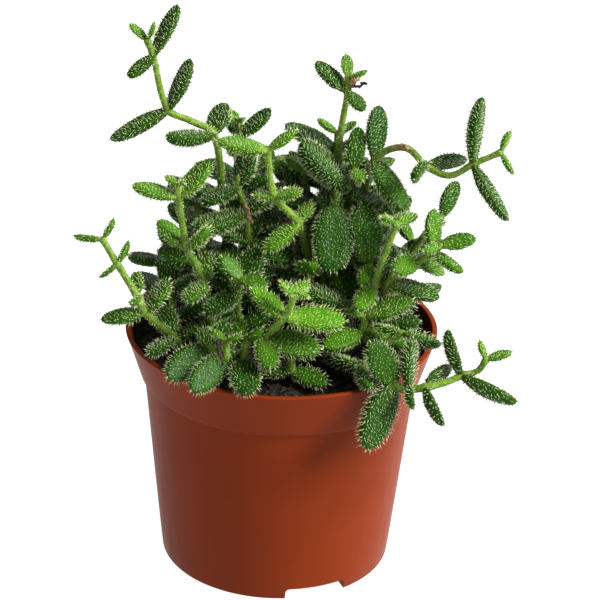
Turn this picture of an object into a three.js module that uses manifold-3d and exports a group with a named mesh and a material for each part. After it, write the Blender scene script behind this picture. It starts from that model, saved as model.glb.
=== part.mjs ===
// A pickle plant (Delosperma echinatum) in a plastic nursery pot, in millimetres, +Z up.
// The origin is the centre of the pot's underside, and -Y is the side that faces a viewer.
// Each leafy stem is one solid: a thin stem with pairs of plump leaves, each pair turned a quarter
// turn from the last, and bristles on the leaves. Leaves that would meet press each other aside.
import * as THREE from "three";
import { mergeVertices } from "three/addons/utils/BufferGeometryUtils.js";
import Module from "manifold-3d";

const wasm = await Module();
wasm.setup();

// Driving dimensions of the pot
const POT_HEIGHT = 68;
const RIM_RADIUS = 42.5;
const BASE_RADIUS = 31.6;
const COLLAR_Z = 54;
const COLLAR_RADIUS = 38.4;
const BODY_TOP_RADIUS = 37.2;
const COLLAR_STEP = 0.7;
const WALL = 1;
const LIP = 0.6;
const LIP_DEPTH = 1.1;
const BASE_EDGE = 0.6;
const POT_SIDES = 32;
const NOTCH_COUNT = 3;
const NOTCH_WIDTH = 17.4;
const NOTCH_HEIGHT = 3.3;
const NOTCH_INNER_RADIUS = 14;
const NOTCH_TURN = -68;
const DRAIN_RADIUS = 3;
const DRAIN_AT = 22;
const DRAIN_SIDES = 10;

// Driving dimensions of the soil and of the stems in it. The waves are the soil's lumps, in radians
// for each mm along X and Y.
const SOIL_Z = 65;
const SOIL_LUMP = 0.7;
const SOIL_RINGS = [0.75, 0.4];
const SLOW_WAVE = [0.42, 0.37];
const QUICK_WAVE = [0.9, 0.7];
const QUICK_SHARE = 0.6;
const GAP = 0.3;
const ROOT_Z = 57;
const HOLE_SIDES = 5;
const STEM_ROOT_RADIUS = 1.25;
const STEM_TIP_RADIUS = 0.8;
const LONG_INTERNODE = 13;
const JOINT_HALF = 0.9;
const JOINT_SHARE = 0.4;
const STEM_CORNERS = [-45, 45, 135, 225];
const BUD_LENGTH = 0.5;

// Driving dimensions of the leaves. Widths and depths are shares of a leaf's length or half width.
const LEAF_SIDES = 5;
const LONG_STATIONS = [0.26, 0.55, 0.86];
const SHORT_STATIONS = [0.32, 0.7];
const LARGE_LEAF = 12.5;
const LEAF_HALF_WIDTH = 0.235;
const LEAF_EXTRA_WIDTH = 0.1;
const LEAF_TOP = 0.35;
const LEAF_UNDER = 0.8;
const LEAF_NECK = 0.4;
const LEAF_WIDEST = 0.46;
const LEAF_BLUNT = 1.9;
const LEAF_POINT = 0.65;
const LEAF_SPREAD = 62;
const LEAF_DROOP = 0.08;
const BRISTLE_LENGTH = 1.15;
const BRISTLE_ROOT = 0.24;
const BRISTLE_SUNK = 0.12;
const BRISTLE_LEAN = 0.5;
const BRISTLE_SIDES = 3;
const RULE_BRISTLE_EVERY = 4;
const BRISTLE_CLEAR = 0.8;
const STEM_CLEAR = 0.4;

// How leaves press apart. Those placed by a rule give way more than those placed by hand.
const PRESS_STATIONS = [0.3, 0.52, 0.74, 0.92];
const PRESS_CLEAR = 0.5;
const PRESS_ROUNDS = 150;
const PRESS_RATE = 0.35;
const PRESS_RETURN = 0.01;
const GIVE_BY_HAND = 0.3;
const BEAD_SHARE = 0.9;
const LEAST_SPREAD = 42;
const LEAST_SPREAD_AT_TIP = 32;
const STEM_BEAD = 2;
const ROOT_REACH = 5;
const ROOT_REACH_BY_HAND = 9;
const RIM_MIDDLE = 41.6;
const RIM_ROUND = 1;

// Each leafy stem as its joints from the soil up: x, y, z and the pair of leaves there. A leaf placed
// by hand is its length, its bearing (0 to the viewer, 90 to the right), its climb in degrees and, if
// it isn't as plump as usual, how plump it is. A pair placed by rule is the leaves' length and the
// pair's turn round the stem in degrees.
const STEMS = {
  tall_left: [
    [-14, 4, 65], [-14.5, 4, 76, 13, 100], [-15.5, 3, 90, 16, 10], [-17, 1, 106, 13, 100],
    [-19.5, -2, 124.5, [16, -50, 16], [13, 171, 23]], [-25.5, -3, 128.5],
    [-31.5, -4, 132, [16.5, -76, -22, 0.85], [15.5, 131, 62, 0.85]],
    [-35.5, -5, 147.5, [10, -36, -14], [15.5, 138, 63, 0.75]],
    [-37, -5, 151.5, [6.5, -110, 46, 0.85], [5.5, 110, 55, 0.85]],
  ],
  left_front: [
    [-18, -10, 65], [-19, -14, 74, [10, -62, -12], [10, 118, 20]],
    [-21, -14, 87, [11, -20, 3], [11.5, 171, 20]],
    [-25.5, -15, 97.5, [11, -113, 43], [12, 43, 50]],
    [-28, -16, 112.5, [12.5, -95, 20], [13.5, 125, 52]],
    [-28.5, -16, 116, [3.5, -120, 20], [3.5, 80, 15]],
  ],
  left_low: [
    [-25, -17, 65], [-29, -20, 73.5, [11, -29, 3], [10.5, -161, 35]],
    [-36, -24, 82.5, [11.5, -84, -5], [11, 126, 49]],
    [-38, -24, 87, [7.5, -135, 57], [6.5, -7, 15]],
    [-43.5, -22, 95.5, [7, 135, 56], [5.5, -66, -30]],
    [-47.5, -20, 101.5, [7.5, -90, 10], [6.5, 132, 55]],
  ],
  bright_middle: [
    [6, -3, 65], [6.5, -4, 76, 13, 110], [7, -4.5, 88, 13, 20],
    [3.5, -6, 101.5, [12, -50, -20], [8, 150, 20]],
    [-3, -9, 110.5, [5.5, -89, 5], [8, 66, 25]],
    [-5, -10, 124, [13.5, -92, 13], [9, 106, 38]],
  ],
  front_bright: [
    [-5, -22, 65], [-4.5, -28, 78, [12, 5, -4], [15, 80, -8, 1.15]],
    [1, -31, 86, [12, -109, 38], [15.5, 88, 3]],
    [3, -34, 94, [5, -119, 36], [5, 122, 38]],
    [3.3, -34.7, 96, [4, -30, 10], [4, 50, -10]],
  ],
  right_long: [
    [18, 6, 65], [18.5, 7, 76, 15, 60], [19.5, 6, 89, 16, 150], [20.5, 4, 103, 15, 60],
    [23.5, 2, 117, [15.5, -177, 66, 0.9], [17, 33, -29]],
    [31, -1, 122], [37, -5, 118.5, [12.5, -17, 11, 0.9], [12.5, 120, 2, 0.9]],
    [43, -7, 117], [49, -8, 121, [19, 164, 72, 0.8], [16.5, 57, -46, 0.85]],
    [56, -9, 125, [6.5, 135, 60], [6, 56, -48]],
  ],
  top: [
    [14, 9, 65], [14.5, 9, 78, 13, 120], [15, 9.5, 92, 13, 30], [14, 8, 106, 12, 120], [14, 6, 121.5],
    [15.5, 4, 135.5, [12, -117, 48], [9, 27, -8]],
    [15.5, 4, 139.5, [6.5, -150, 50], [5.5, 75, 30]],
  ],
  right: [
    [25, -11, 65], [26.5, -12, 76, 12, 60], [28, -13.5, 88.5, [10.5, -104, 30], [14, 77, -19]],
    [35.5, -16, 96, [11, -37, 12], [10, 125, -26]],
    [39.5, -17, 99.5, [12, -175, 65], [10, 46, -7]],
    [41, -18.5, 102, [9.5, 96, 16], [5, -60, -6]],
  ],
  right_behind: [
    [27, 2, 65], [29, 1, 77, 13, 20], [33, 0.5, 88, 12, 110], [38, 0, 97],
    [42, 0, 102, [11, 139, 54], [5, -8, 0]],
  ],
  right_bright: [
    [22, -16, 65], [23, -16, 77], [24, -15, 87.5, [10, -21, -11], [8, 151, 40]],
    [29.5, -13, 105.5, [8, 145, 22], [6, -56, 34]],
  ],
  right_rim: [
    [26, -24, 65], [28, -28, 70.5], [30, -36.5, 69.5, [15, -90, 61], [17, -41, -50, 1.25]],
    [34, -38, 69.5, [8.5, 5, 0], [14.5, 178, 51]],
    [38, -38.5, 70.5, [10.5, 40, -42, 1.2], [10.5, 125, 20]], [43, -37.5, 71.5],
    [47.5, -36, 73, [13.5, -145, 48], [15.5, 76, -13]], [51.5, -36, 74.5],
    [53.5, -36, 78, [5.5, -150, 50], [7, 100, 20]],
  ],
  rim_middle: [
    [22, -26, 65], [22, -28, 70.5, [13, -130, 8], [12, 10, -8]], [27, -24, 75],
    [32, -24, 79, [10.5, 80, -8, 1.15], [8, -120, 20]],
  ],
  rim_right: [
    [17, -16, 65], [21.5, -19, 76.5, [12.5, -53, -10], [15, 92, -16]],
    [22, -20, 81.5, [13.5, 95, 12], [5, -100, 20]],
  ],
  left_rim: [
    [-17, -22, 65], [-18.5, -25.5, 73, [16, -42, -4], [9, -168, 15]],
    [-14.5, -31, 73, [14.5, -35, -8], [8, 140, 35]], [-14.5, -30.5, 78.5, 5, 60],
  ],
  rim_left: [
    [-9, -24, 65], [-9.5, -29, 72, [15.5, 3, -8], [13.5, -138, 3]], [-9, -28.5, 77.5, 7, 60],
  ],
  front_low: [
    [4, -26, 65], [3, -29.5, 69.5, [10.5, 66, -3], [9, -100, -3]], [3, -30, 73.5],
  ],
  middle: [
    [13, 0, 65], [13.5, 1, 76, 13, 110], [14.5, 2, 88, 14, 20], [16, 2, 99, 13, 110],
    [17.5, 2, 108.5, [21, -111, 40, 1.1], [10.5, 84, -9]],
    [18, 0, 115, [12, 178, 62, 0.85], [6.5, 5, -5]],
  ],
  middle_behind: [
    [4, 14, 65], [5, 14, 78, 12, 130], [8, 13, 91, 14, 40], [11, 12, 104, 13, 130],
    [13, 11, 116, [15.5, -105, 31], [11, 75, 40]], [13.5, 11, 120.5, [7, -101, 24], [6, 100, 20]],
  ],
  middle_left: [
    [-4.5, 3, 65], [-5, 3, 76, 11, 100], [-7, 1, 86, 13, 10],
    [-9.5, -1, 93, [13, 94, 8, 1.3], [12, -92, 8]],
    [-10.5, -1, 102, [18, -60, -3], [13, 163, 38]],
    [-13, -1, 109.5, [12.5, -42, -14], [12, 142, 38, 1.2]], [-13, -1, 112],
  ],
  middle_front: [
    [15, -9, 65], [16, -11, 73], [18.5, -14, 81, [18.5, -101, 24], [6, 65, 5]],
    [23, -8.5, 86.5], [23, -10, 92, [17.5, -172, 65], [7, 22, -26]],
  ],
  deep_middle: [
    [10.5, -6.5, 65], [11, -6, 75, 11, 45], [11.5, -2, 90, 13, 90],
    [13, -4, 106, [17, -3, -52, 1.25], [13, 180, 30]], [13.5, -4, 110],
  ],
  left_middle: [
    [-11, -10, 65], [-11.5, -12, 73, 11, 100],
    [-12, -14, 84, [14, 140, 60], [11, -48, -8]], [-11, -17, 90, 8, 60],
  ],
  left_deep: [
    [-20, 0, 65], [-21, 0, 74, 13, 10], [-22, 0, 86, 13, 100], [-23, 0, 96, 12, 10],
    [-23.5, 1, 103, 8, 100],
  ],
  left_side: [
    [-28, -4, 65], [-29, -4, 72, 12, 60], [-30.5, -3, 79.5, [12, -165, 32], [12, 60, 40]],
  ],
  behind_middle: [
    [-1, 11, 65], [0, 11, 77, 12, 30], [2, 10, 91, 12, 120],
    [4.5, 8, 104.5, [13.5, -117, 50], [13, 63, 30]], [5, 8, 110.5, 7, 70],
  ],
  left_behind: [
    [-11, 11, 65], [-11.5, 11, 77, 16, 60], [-11.5, 9, 91, 16, 150], [-12.5, 8, 106, 12, 60],
    [-13, 7, 120, [12, 111, 43], [9.5, -155, 40]], [-13.5, 7, 125, 4, 30],
  ],
  back_left: [
    [-22, 10, 65], [-23, 11, 75, 15, 30], [-24, 12, 85, 15, 120], [-25, 14, 96, 13, 30],
    [-26, 15, 103, 8, 120],
  ],
  back_middle: [
    [-9, 23, 65], [-10, 25, 76, 15, 90], [-12, 28, 87, 15, 0], [-13, 30, 98, 13, 90],
    [-14, 31, 105, 8, 0],
  ],
  back_centre: [
    [6, 25, 65], [6, 27, 76, 15, 45], [6, 30, 87, 15, 135], [6, 32, 97, 13, 45], [6, 33, 103, 8, 135],
  ],
  back_right: [
    [19, 19, 65], [20, 20, 76, 13, 10], [21, 21, 88, 15, 100], [21, 22, 99, 13, 10],
    [22, 22, 106, 8, 100],
  ],
  inner_left: [
    [-4, 8, 65], [-4.5, 8, 78, 11, 80], [-5, 7, 92, 12, 170], [-5, 6, 104, 12, 80],
    [-5.5, 6, 111, 8, 170],
  ],
  back_inner: [
    [12, 22, 65], [12, 23, 78, 13, 0], [12.5, 24, 90, 14, 90], [13, 25, 102, 12, 0],
    [13, 25, 109, 8, 90],
  ],
  far_left: [
    [-29, 5, 65], [-31, 6, 74, 12, 60], [-32, 7, 83, 11, 150], [-32.5, 7, 86.5],
  ],
  right_side: [
    [29, 10, 65], [31, 12, 74, 14, 60], [33, 13, 82, 13, 150], [35, 14, 88, 9, 60],
  ],
};

// Small vector helpers on plain arrays
const add = (a, b, k = 1) => [a[0] + b[0] * k, a[1] + b[1] * k, a[2] + b[2] * k];
const sub = (a, b) => add(a, b, -1);
const dot = (a, b) => a[0] * b[0] + a[1] * b[1] + a[2] * b[2];
const cross = (a, b) => [
  a[1] * b[2] - a[2] * b[1], a[2] * b[0] - a[0] * b[2], a[0] * b[1] - a[1] * b[0],
];
const size = (a) => Math.hypot(...a);
const unit = (a) => add([0, 0, 0], a, 1 / size(a));
const square = (a, n) => unit(add(a, n, -dot(a, n)));
const radians = (degrees) => (degrees * Math.PI) / 180;

// Turns positions and faces into a closed solid.
function solidOf(points, faces) {
  return new wasm.Manifold(
    new wasm.Mesh({
      numProp: 3,
      vertProperties: new Float32Array(points.flat()),
      triVerts: new Uint32Array(faces.flat()),
    }),
  );
}

function solidFrom(geometry) {
  const bare = geometry.index ? geometry.toNonIndexed() : geometry.clone();
  bare.deleteAttribute("normal");
  bare.deleteAttribute("uv");
  const merged = mergeVertices(bare, 1e-4);
  return new wasm.Manifold(
    new wasm.Mesh({
      numProp: 3,
      vertProperties: merged.attributes.position.array,
      triVerts: new Uint32Array(merged.index.array),
    }),
  );
}

function meshOf(solid, name, material) {
  const made = solid.getMesh();
  const points = new Float32Array(made.numVert * 3);
  for (let i = 0; i < made.numVert; i++)
    points.set(made.vertProperties.subarray(i * made.numProp, i * made.numProp + 3), i * 3);
  const geometry = new THREE.BufferGeometry()
    .setAttribute("position", new THREE.BufferAttribute(points, 3))
    .setIndex(new THREE.BufferAttribute(made.triVerts, 1));
  geometry.computeVertexNormals();
  const mesh = new THREE.Mesh(geometry, material);
  mesh.name = name;
  return mesh;
}

// A solid turned from a profile of [radius, height] points that starts and ends on the axis.
function turned(profile, sides) {
  const points = profile.map(([r, z]) => new THREE.Vector2(r, z));
  return new THREE.LatheGeometry(points, sides).rotateX(Math.PI / 2);
}

// An upright post with flat sides
function post(x, y, low, high, radius, sides) {
  const cylinder = new THREE.CylinderGeometry(radius, radius, high - low, sides);
  return cylinder.rotateX(Math.PI / 2).translate(x, y, (low + high) / 2);
}

// The pot
const FLOOR_TOP = WALL;
const bodyRadius = (z) => BASE_RADIUS + ((BODY_TOP_RADIUS - BASE_RADIUS) * z) / COLLAR_Z;

function potOutside() {
  return solidFrom(turned([
    [0, 0], [BASE_RADIUS - BASE_EDGE, 0], [BASE_RADIUS, BASE_EDGE], [BODY_TOP_RADIUS, COLLAR_Z],
    [COLLAR_RADIUS, COLLAR_Z + COLLAR_STEP], [RIM_RADIUS - LIP, POT_HEIGHT - LIP_DEPTH - LIP],
    [RIM_RADIUS, POT_HEIGHT - LIP_DEPTH], [RIM_RADIUS, POT_HEIGHT], [0, POT_HEIGHT],
  ], POT_SIDES));
}

// The inside of the wall up to the collar's top, shrunk by a gap
function innerProfile(gap) {
  return [
    [0, FLOOR_TOP + gap], [bodyRadius(FLOOR_TOP) - WALL - gap, FLOOR_TOP + gap],
    [BODY_TOP_RADIUS - WALL - gap, COLLAR_Z], [COLLAR_RADIUS - WALL - gap, COLLAR_Z + COLLAR_STEP + gap],
    [RIM_RADIUS - LIP - WALL - gap, POT_HEIGHT + 1],
  ];
}

// A box along one drainage channel, from the channel's inner end out past the wall.
function channelBox(grow, low, high) {
  const long = RIM_RADIUS - NOTCH_INNER_RADIUS + grow;
  const box = new THREE.BoxGeometry(long, NOTCH_WIDTH + 2 * grow, high - low);
  box.translate(NOTCH_INNER_RADIUS - grow + long / 2, 0, (low + high) / 2);
  return box;
}

function notchTurns() {
  return Array.from({ length: NOTCH_COUNT }, (_, i) => radians(NOTCH_TURN + (360 / NOTCH_COUNT) * i));
}

function makePot() {
  const outside = potOutside();
  let pot = outside.subtract(solidFrom(turned([...innerProfile(0), [0, POT_HEIGHT + 1]], POT_SIDES)));
  for (const turn of notchTurns()) {
    const roof = solidFrom(channelBox(WALL, FLOOR_TOP / 2, NOTCH_HEIGHT + WALL).rotateZ(turn));
    const channel = solidFrom(channelBox(0, -1, NOTCH_HEIGHT).rotateZ(turn));
    const drain = post(DRAIN_AT, 0, 0, 2 * NOTCH_HEIGHT, DRAIN_RADIUS, DRAIN_SIDES).rotateZ(turn);
    pot = pot.add(outside.intersect(roof)).subtract(channel).subtract(solidFrom(drain));
  }
  return pot;
}

// The soil: a heaped, lumpy fill with a plain hole for each stem
function soilLump(x, y) {
  const slow = Math.sin(x * SLOW_WAVE[0] + 1) * Math.cos(y * SLOW_WAVE[1]);
  const quick = Math.sin(x * QUICK_WAVE[0] - y * QUICK_WAVE[1]);
  return SOIL_LUMP * (slow + QUICK_SHARE * quick);
}

// The solid that fills the hollow up to the soil's level, before its top is made lumpy
function soilBlock() {
  const inside = innerProfile(GAP);
  const [below, above] = inside.slice(-2);
  const edge = below[0] + ((above[0] - below[0]) * (SOIL_Z - below[1])) / (above[1] - below[1]);
  const lid = [1, ...SOIL_RINGS, 0].map((part) => [edge * part, SOIL_Z]);
  return turned([...inside.slice(0, -1), ...lid], POT_SIDES);
}

function makeSoil(stems) {
  const geometry = soilBlock();
  const place = geometry.attributes.position;
  const lumpyWithin = RIM_RADIUS * SOIL_RINGS[0];
  for (let i = 0; i < place.count; i++) {
    const [x, y] = [place.getX(i), place.getY(i)];
    const inside = Math.hypot(x, y) < lumpyWithin;
    if (inside && place.getZ(i) === SOIL_Z) place.setZ(i, SOIL_Z + soilLump(x, y));
  }
  let soil = solidFrom(geometry);
  for (const turn of notchTurns())
    soil = soil.subtract(
      solidFrom(channelBox(WALL + GAP, -1, NOTCH_HEIGHT + WALL + GAP).rotateZ(turn)),
    );
  const holeRadius = (STEM_ROOT_RADIUS + GAP) / Math.cos(Math.PI / HOLE_SIDES);
  for (const stem of stems) {
    const [x, y] = stem.joints[0].at;
    const hole = post(x, y, ROOT_Z - GAP, POT_HEIGHT + 1, holeRadius, HOLE_SIDES);
    soil = soil.subtract(solidFrom(hole));
  }
  return soil;
}

// A stem as joints, with a point below the soil first
function readStem([name, rows]) {
  const [x, y] = rows[0];
  const joints = [
    { at: [x, y, ROOT_Z], pair: [] },
    ...rows.map(([px, py, pz, ...pair]) => ({ at: [px, py, pz], pair })),
  ];
  joints.forEach((joint, i) => {
    const before = joints[Math.max(i - 1, 0)].at;
    const after = joints[Math.min(i + 1, joints.length - 1)].at;
    joint.along = i < 2 ? [0, 0, 1] : unit(sub(after, before));
  });
  const stem = { name, joints };
  stem.leaves = joints.flatMap((joint) => leavesAt(joint, stem));
  return stem;
}

// The point of a stem's smooth curve at a share of the way from one joint to the next
function onStem(stem, index, share) {
  const [a, b] = [stem.joints[index], stem.joints[index + 1]];
  const chord = size(sub(b.at, a.at));
  const [t2, t3] = [share * share, share * share * share];
  let point = add([0, 0, 0], a.at, 2 * t3 - 3 * t2 + 1);
  point = add(point, a.along, (t3 - 2 * t2 + share) * chord);
  point = add(point, b.at, 3 * t2 - 2 * t3);
  return add(point, b.along, (t3 - t2) * chord);
}

function leavesAt(joint, stem) {
  const leaf = (length, way, give, plump = 1) => ({
    root: joint.at, up: joint.along, way, rest: way, give, length, stem,
    last: joint === stem.joints.at(-1), width: (length * LEAF_HALF_WIDTH + LEAF_EXTRA_WIDTH) * plump,
  });
  if (!joint.pair.length) return [];
  if (Array.isArray(joint.pair[0]))
    return joint.pair.map(([length, bearing, climb, plump]) =>
      leaf(length, wayOf(bearing, climb), GIVE_BY_HAND, plump),
    );
  const [length, turn] = joint.pair;
  return [turn, turn + 180].map((angle) => leaf(length, spreadWay(joint.along, radians(angle)), 1));
}

function wayOf(bearing, climb) {
  const [b, c] = [radians(bearing), radians(climb)];
  return [Math.sin(b) * Math.cos(c), -Math.cos(b) * Math.cos(c), Math.sin(c)];
}

// A way that spreads from the stem's own, turned round it from the viewer's side
function spreadWay(along, turn) {
  const toward = square([0, -1, 0], along);
  const aside = cross(along, toward);
  const spread = radians(LEAF_SPREAD);
  const out = add(add([0, 0, 0], toward, Math.cos(turn)), aside, Math.sin(turn));
  return add(add([0, 0, 0], along, Math.cos(spread)), out, Math.sin(spread));
}

// Half a leaf's width at a share of its length, as a share of its widest
function leafProfile(share) {
  if (share < LEAF_WIDEST)
    return LEAF_NECK + (1 - LEAF_NECK) * Math.sin(((Math.PI / 2) * share) / LEAF_WIDEST);
  const beyond = (share - LEAF_WIDEST) / (1 - LEAF_WIDEST);
  return Math.max(0, 1 - beyond ** LEAF_BLUNT) ** LEAF_POINT;
}

// The middle of a leaf at a share of its length; it droops a little towards its tip
function onLeaf(leaf, share) {
  const point = add(leaf.root, leaf.way, leaf.length * share);
  return add(point, [0, 0, -1], LEAF_DROOP * leaf.length * share * share);
}

const leafBeads = (leaves) =>
  leaves.flatMap((leaf, index) =>
    PRESS_STATIONS.map((share) => ({
      index, leaf, arm: share * leaf.length, at: onLeaf(leaf, share),
      radius: leaf.width * leafProfile(share) * BEAD_SHARE,
    })),
  );

function stemBeads(stems) {
  const beads = [];
  for (const stem of stems)
    for (let i = 1; i + 1 < stem.joints.length; i++) {
      const steps = Math.ceil(size(sub(stem.joints[i + 1].at, stem.joints[i].at)) / STEM_BEAD);
      for (let k = 0; k < steps; k++)
        beads.push({ at: onStem(stem, i, k / steps), radius: STEM_ROOT_RADIUS, stem });
    }
  return beads;
}

// How deep a ball reaches into the soil, the rim or the wall, and the way out
function pressedByPot([x, y, z], radius) {
  const flat = Math.hypot(x, y) || 1;
  const outward = [x / flat, y / flat, 0];
  const rim = [outward[0] * RIM_MIDDLE, outward[1] * RIM_MIDDLE, POT_HEIGHT - RIM_ROUND];
  const fromRim = sub([x, y, z], rim);
  const found = [[radius + RIM_ROUND - size(fromRim), unit(fromRim)]];
  if (flat < RIM_MIDDLE) found.push([SOIL_Z + SOIL_LUMP + radius - z, [0, 0, 1]]);
  else if (z < POT_HEIGHT) found.push([RIM_RADIUS + radius - flat, outward]);
  return found.filter(([deep]) => deep > 0);
}

// Presses leaves apart: as beads, they push each other aside and yield to stems, soil and pot
function pressApart(leaves, posts) {
  for (let round = 0; round < PRESS_ROUNDS; round++) {
    const beads = leafBeads(leaves);
    const push = leaves.map(() => [0, 0, 0]);
    const shove = (bead, way, deep) => {
      const turn = (deep * PRESS_RATE * bead.leaf.give) / bead.arm;
      push[bead.index] = add(push[bead.index], way, turn);
    };
    for (const bead of beads) {
      for (const other of [...beads, ...posts]) {
        const near = other.leaf ? other.leaf.root === bead.leaf.root : besideRoot(other, bead.leaf);
        const reach = bead.radius + other.radius + PRESS_CLEAR;
        if (near || Math.abs(bead.at[0] - other.at[0]) > reach) continue;
        const apart = sub(bead.at, other.at);
        const deep = reach - size(apart);
        if (deep > 0 && deep < reach) shove(bead, unit(apart), deep);
      }
      for (const [deep, way] of pressedByPot(bead.at, bead.radius + PRESS_CLEAR)) shove(bead, way, deep);
    }
    leaves.forEach((leaf, i) => {
      const back = add([0, 0, 0], sub(leaf.rest, leaf.way), PRESS_RETURN);
      leaf.way = openWay(unit(add(add(leaf.way, push[i]), back)), leaf);
    });
  }
}

// Turns a way that lies too close along the stem outward, to the least spread
function openWay(way, leaf) {
  const least = Math.cos(radians(leaf.last ? LEAST_SPREAD_AT_TIP : LEAST_SPREAD));
  const upward = dot(way, leaf.up);
  if (upward < least) return way;
  return add(add([0, 0, 0], leaf.up, least), square(way, leaf.up), Math.sqrt(1 - least * least));
}

const besideRoot = (post, leaf) =>
  post.stem === leaf.stem &&
  size(sub(post.at, leaf.root)) < (leaf.give < 1 ? ROOT_REACH_BY_HAND : ROOT_REACH);

// Whether a bristle's tip stays clear of every leaf but its own, of the stems and of the pot
function isClear(tip, leaf, beads, posts) {
  const meets = ({ at, radius }, clear) => size(sub(at, tip)) < radius + clear;
  if (pressedByPot(tip, BRISTLE_CLEAR).length) return false;
  if (beads.some((bead) => bead.leaf !== leaf && meets(bead, BRISTLE_CLEAR))) return false;
  return !posts.some((post) => meets(post, STEM_CLEAR));
}

const wrap = (angle) => ((angle % (2 * Math.PI)) + 2 * Math.PI) % (2 * Math.PI);
const centreOf = (points) => points.reduce((sum, p) => add(sum, p, 1 / points.length), [0, 0, 0]);

// Joins two loops of points with a band of triangles; both run from wide towards top
function band(mesh, low, high, wide, top) {
  const anglesOf = (loop) => {
    const places = loop.map((p) => mesh.points[p]);
    const outward = places.map((place) => sub(place, centreOf(places)));
    return outward.map((out) => Math.atan2(dot(out, top), dot(out, wide)));
  };
  const turnsFrom = (start, angles) => [
    ...angles.map((angle) => start + wrap(angle - angles[0])), start + 2 * Math.PI,
  ];
  const [lowAngles, highAngles] = [anglesOf(low), anglesOf(high)];
  const lag = wrap(highAngles[0] - lowAngles[0] + Math.PI) - Math.PI;
  const [lowTurns, highTurns] = [turnsFrom(0, lowAngles), turnsFrom(lag, highAngles)];
  let [i, j] = [0, 0];
  while (i < low.length || j < high.length) {
    const [a, b] = [low[i % low.length], high[j % high.length]];
    const lowNext = i < low.length && (j >= high.length || lowTurns[i + 1] < highTurns[j + 1]);
    if (lowNext) mesh.faces.push([a, low[++i % low.length], b]);
    else mesh.faces.push([a, high[++j % high.length], b]);
  }
}

// Raises a bristle from a vertex, which becomes a small three-cornered root with a tip above it
function raiseBristle({ points, faces }, vertex, normal, tip) {
  const centre = points[vertex];
  const side = square(Math.abs(normal[2]) < 0.9 ? [0, 0, 1] : [1, 0, 0], normal);
  const aside = cross(normal, side);
  const first = points.length;
  for (let i = 0; i < BRISTLE_SIDES; i++) {
    const angle = ((2 * i + 1) * Math.PI) / BRISTLE_SIDES;
    const out = add(add([0, 0, 0], side, Math.cos(angle)), aside, Math.sin(angle));
    points.push(add(add(centre, normal, -BRISTLE_SUNK), out, BRISTLE_ROOT));
  }
  points.push(tip);
  const cornerToward = (place) => {
    const out = sub(place, centre);
    const angle = wrap(Math.atan2(dot(out, aside), dot(out, side)));
    return Math.floor((angle * BRISTLE_SIDES) / (2 * Math.PI));
  };
  const after = new Map();
  for (const face of faces.filter((each) => each.includes(vertex))) {
    const at = face.indexOf(vertex);
    const [from, to] = [face[(at + 1) % 3], face[(at + 2) % 3]];
    const corner = cornerToward(add(points[from], sub(points[to], points[from]), 0.5));
    face[at] = first + corner;
    after.set(from, { to, corner });
  }
  const next = (corner) => (corner + 1) % BRISTLE_SIDES;
  for (const { to, corner } of after.values())
    for (let c = corner; c !== after.get(to).corner; c = next(c))
      faces.push([first + c, to, first + next(c)]);
  for (let c = 0; c < BRISTLE_SIDES; c++) faces.push([first + c, first + next(c), first + BRISTLE_SIDES]);
}

// Grows a leaf out of a loop of four points on its stem
function growLeaf(mesh, leaf, loop, beads, posts) {
  const top = square(leaf.up, leaf.way);
  const wide = cross(top, leaf.way);
  const byHand = leaf.give < 1;
  const stations = byHand && leaf.length >= LARGE_LEAF ? LONG_STATIONS : SHORT_STATIONS;
  const rings = stations.map((share, k) => {
    const half = leaf.width * leafProfile(share);
    return Array.from({ length: LEAF_SIDES }, (_, i) => {
      const angle = ((i + (k % 2) / 2) * 2 * Math.PI) / LEAF_SIDES;
      const depth = Math.sin(angle) * half * (Math.sin(angle) > 0 ? LEAF_TOP : LEAF_UNDER);
      const at = add(add(onLeaf(leaf, share), wide, Math.cos(angle) * half), top, depth);
      return mesh.points.push(at) - 1;
    });
  });
  [loop, ...rings].reduce((low, high) => {
    band(mesh, low, high, wide, top);
    return high;
  });
  const tip = mesh.points.push(onLeaf(leaf, 1)) - 1;
  rings.at(-1).forEach((p, i, ring) => mesh.faces.push([p, ring[(i + 1) % LEAF_SIDES], tip]));
  const raise = (p, normal) => {
    const end = add(mesh.points[p], unit(add(normal, leaf.way, BRISTLE_LEAN)), BRISTLE_LENGTH);
    if (isClear(end, leaf, beads, posts)) raiseBristle(mesh, p, normal, end);
  };
  raise(tip, leaf.way);
  const every = byHand ? rings.length + 1 : RULE_BRISTLE_EVERY;
  rings.flat().forEach((p, i) => {
    const share = stations[Math.floor(i / LEAF_SIDES)];
    if (i % every === 0) raise(p, unit(sub(mesh.points[p], onLeaf(leaf, share))));
  });
}

// The rings of a stem: one at a bare joint and halfway along a long stretch, and two at a joint with
// leaves, turned so that a side of the stem faces each leaf
function stemRings(stem) {
  const last = stem.joints.length - 1;
  const rings = [];
  const ringAt = (at, along, share, leaves = []) => rings.push({ at, along, share, leaves });
  stem.joints.forEach((joint, i) => {
    const leaves = stem.leaves.filter((leaf) => leaf.root === joint.at);
    const stretches = [i - 1, i].filter((k) => k >= 0 && k < last);
    const lengths = stretches.map((k) => size(sub(stem.joints[k + 1].at, stem.joints[k].at)));
    const half = leaves.length ? Math.min(JOINT_HALF, ...lengths.map((each) => each * JOINT_SHARE)) : 0;
    if (leaves.length) ringAt(add(joint.at, joint.along, -half), joint.along, i / last, leaves);
    ringAt(add(joint.at, joint.along, half), joint.along, i / last);
    if (i < 1 || i === last || lengths.at(-1) < LONG_INTERNODE) return;
    const onward = unit(sub(stem.joints[i + 1].at, joint.at));
    ringAt(onStem(stem, i, 0.5), onward, (i + 0.5) / last);
  });
  let side = [0, -1, 0];
  for (const ring of rings) {
    side = square(side, ring.along);
    if (ring.leaves.length) side = facingSide(ring, side);
    ring.side = side;
  }
  return rings;
}

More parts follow.
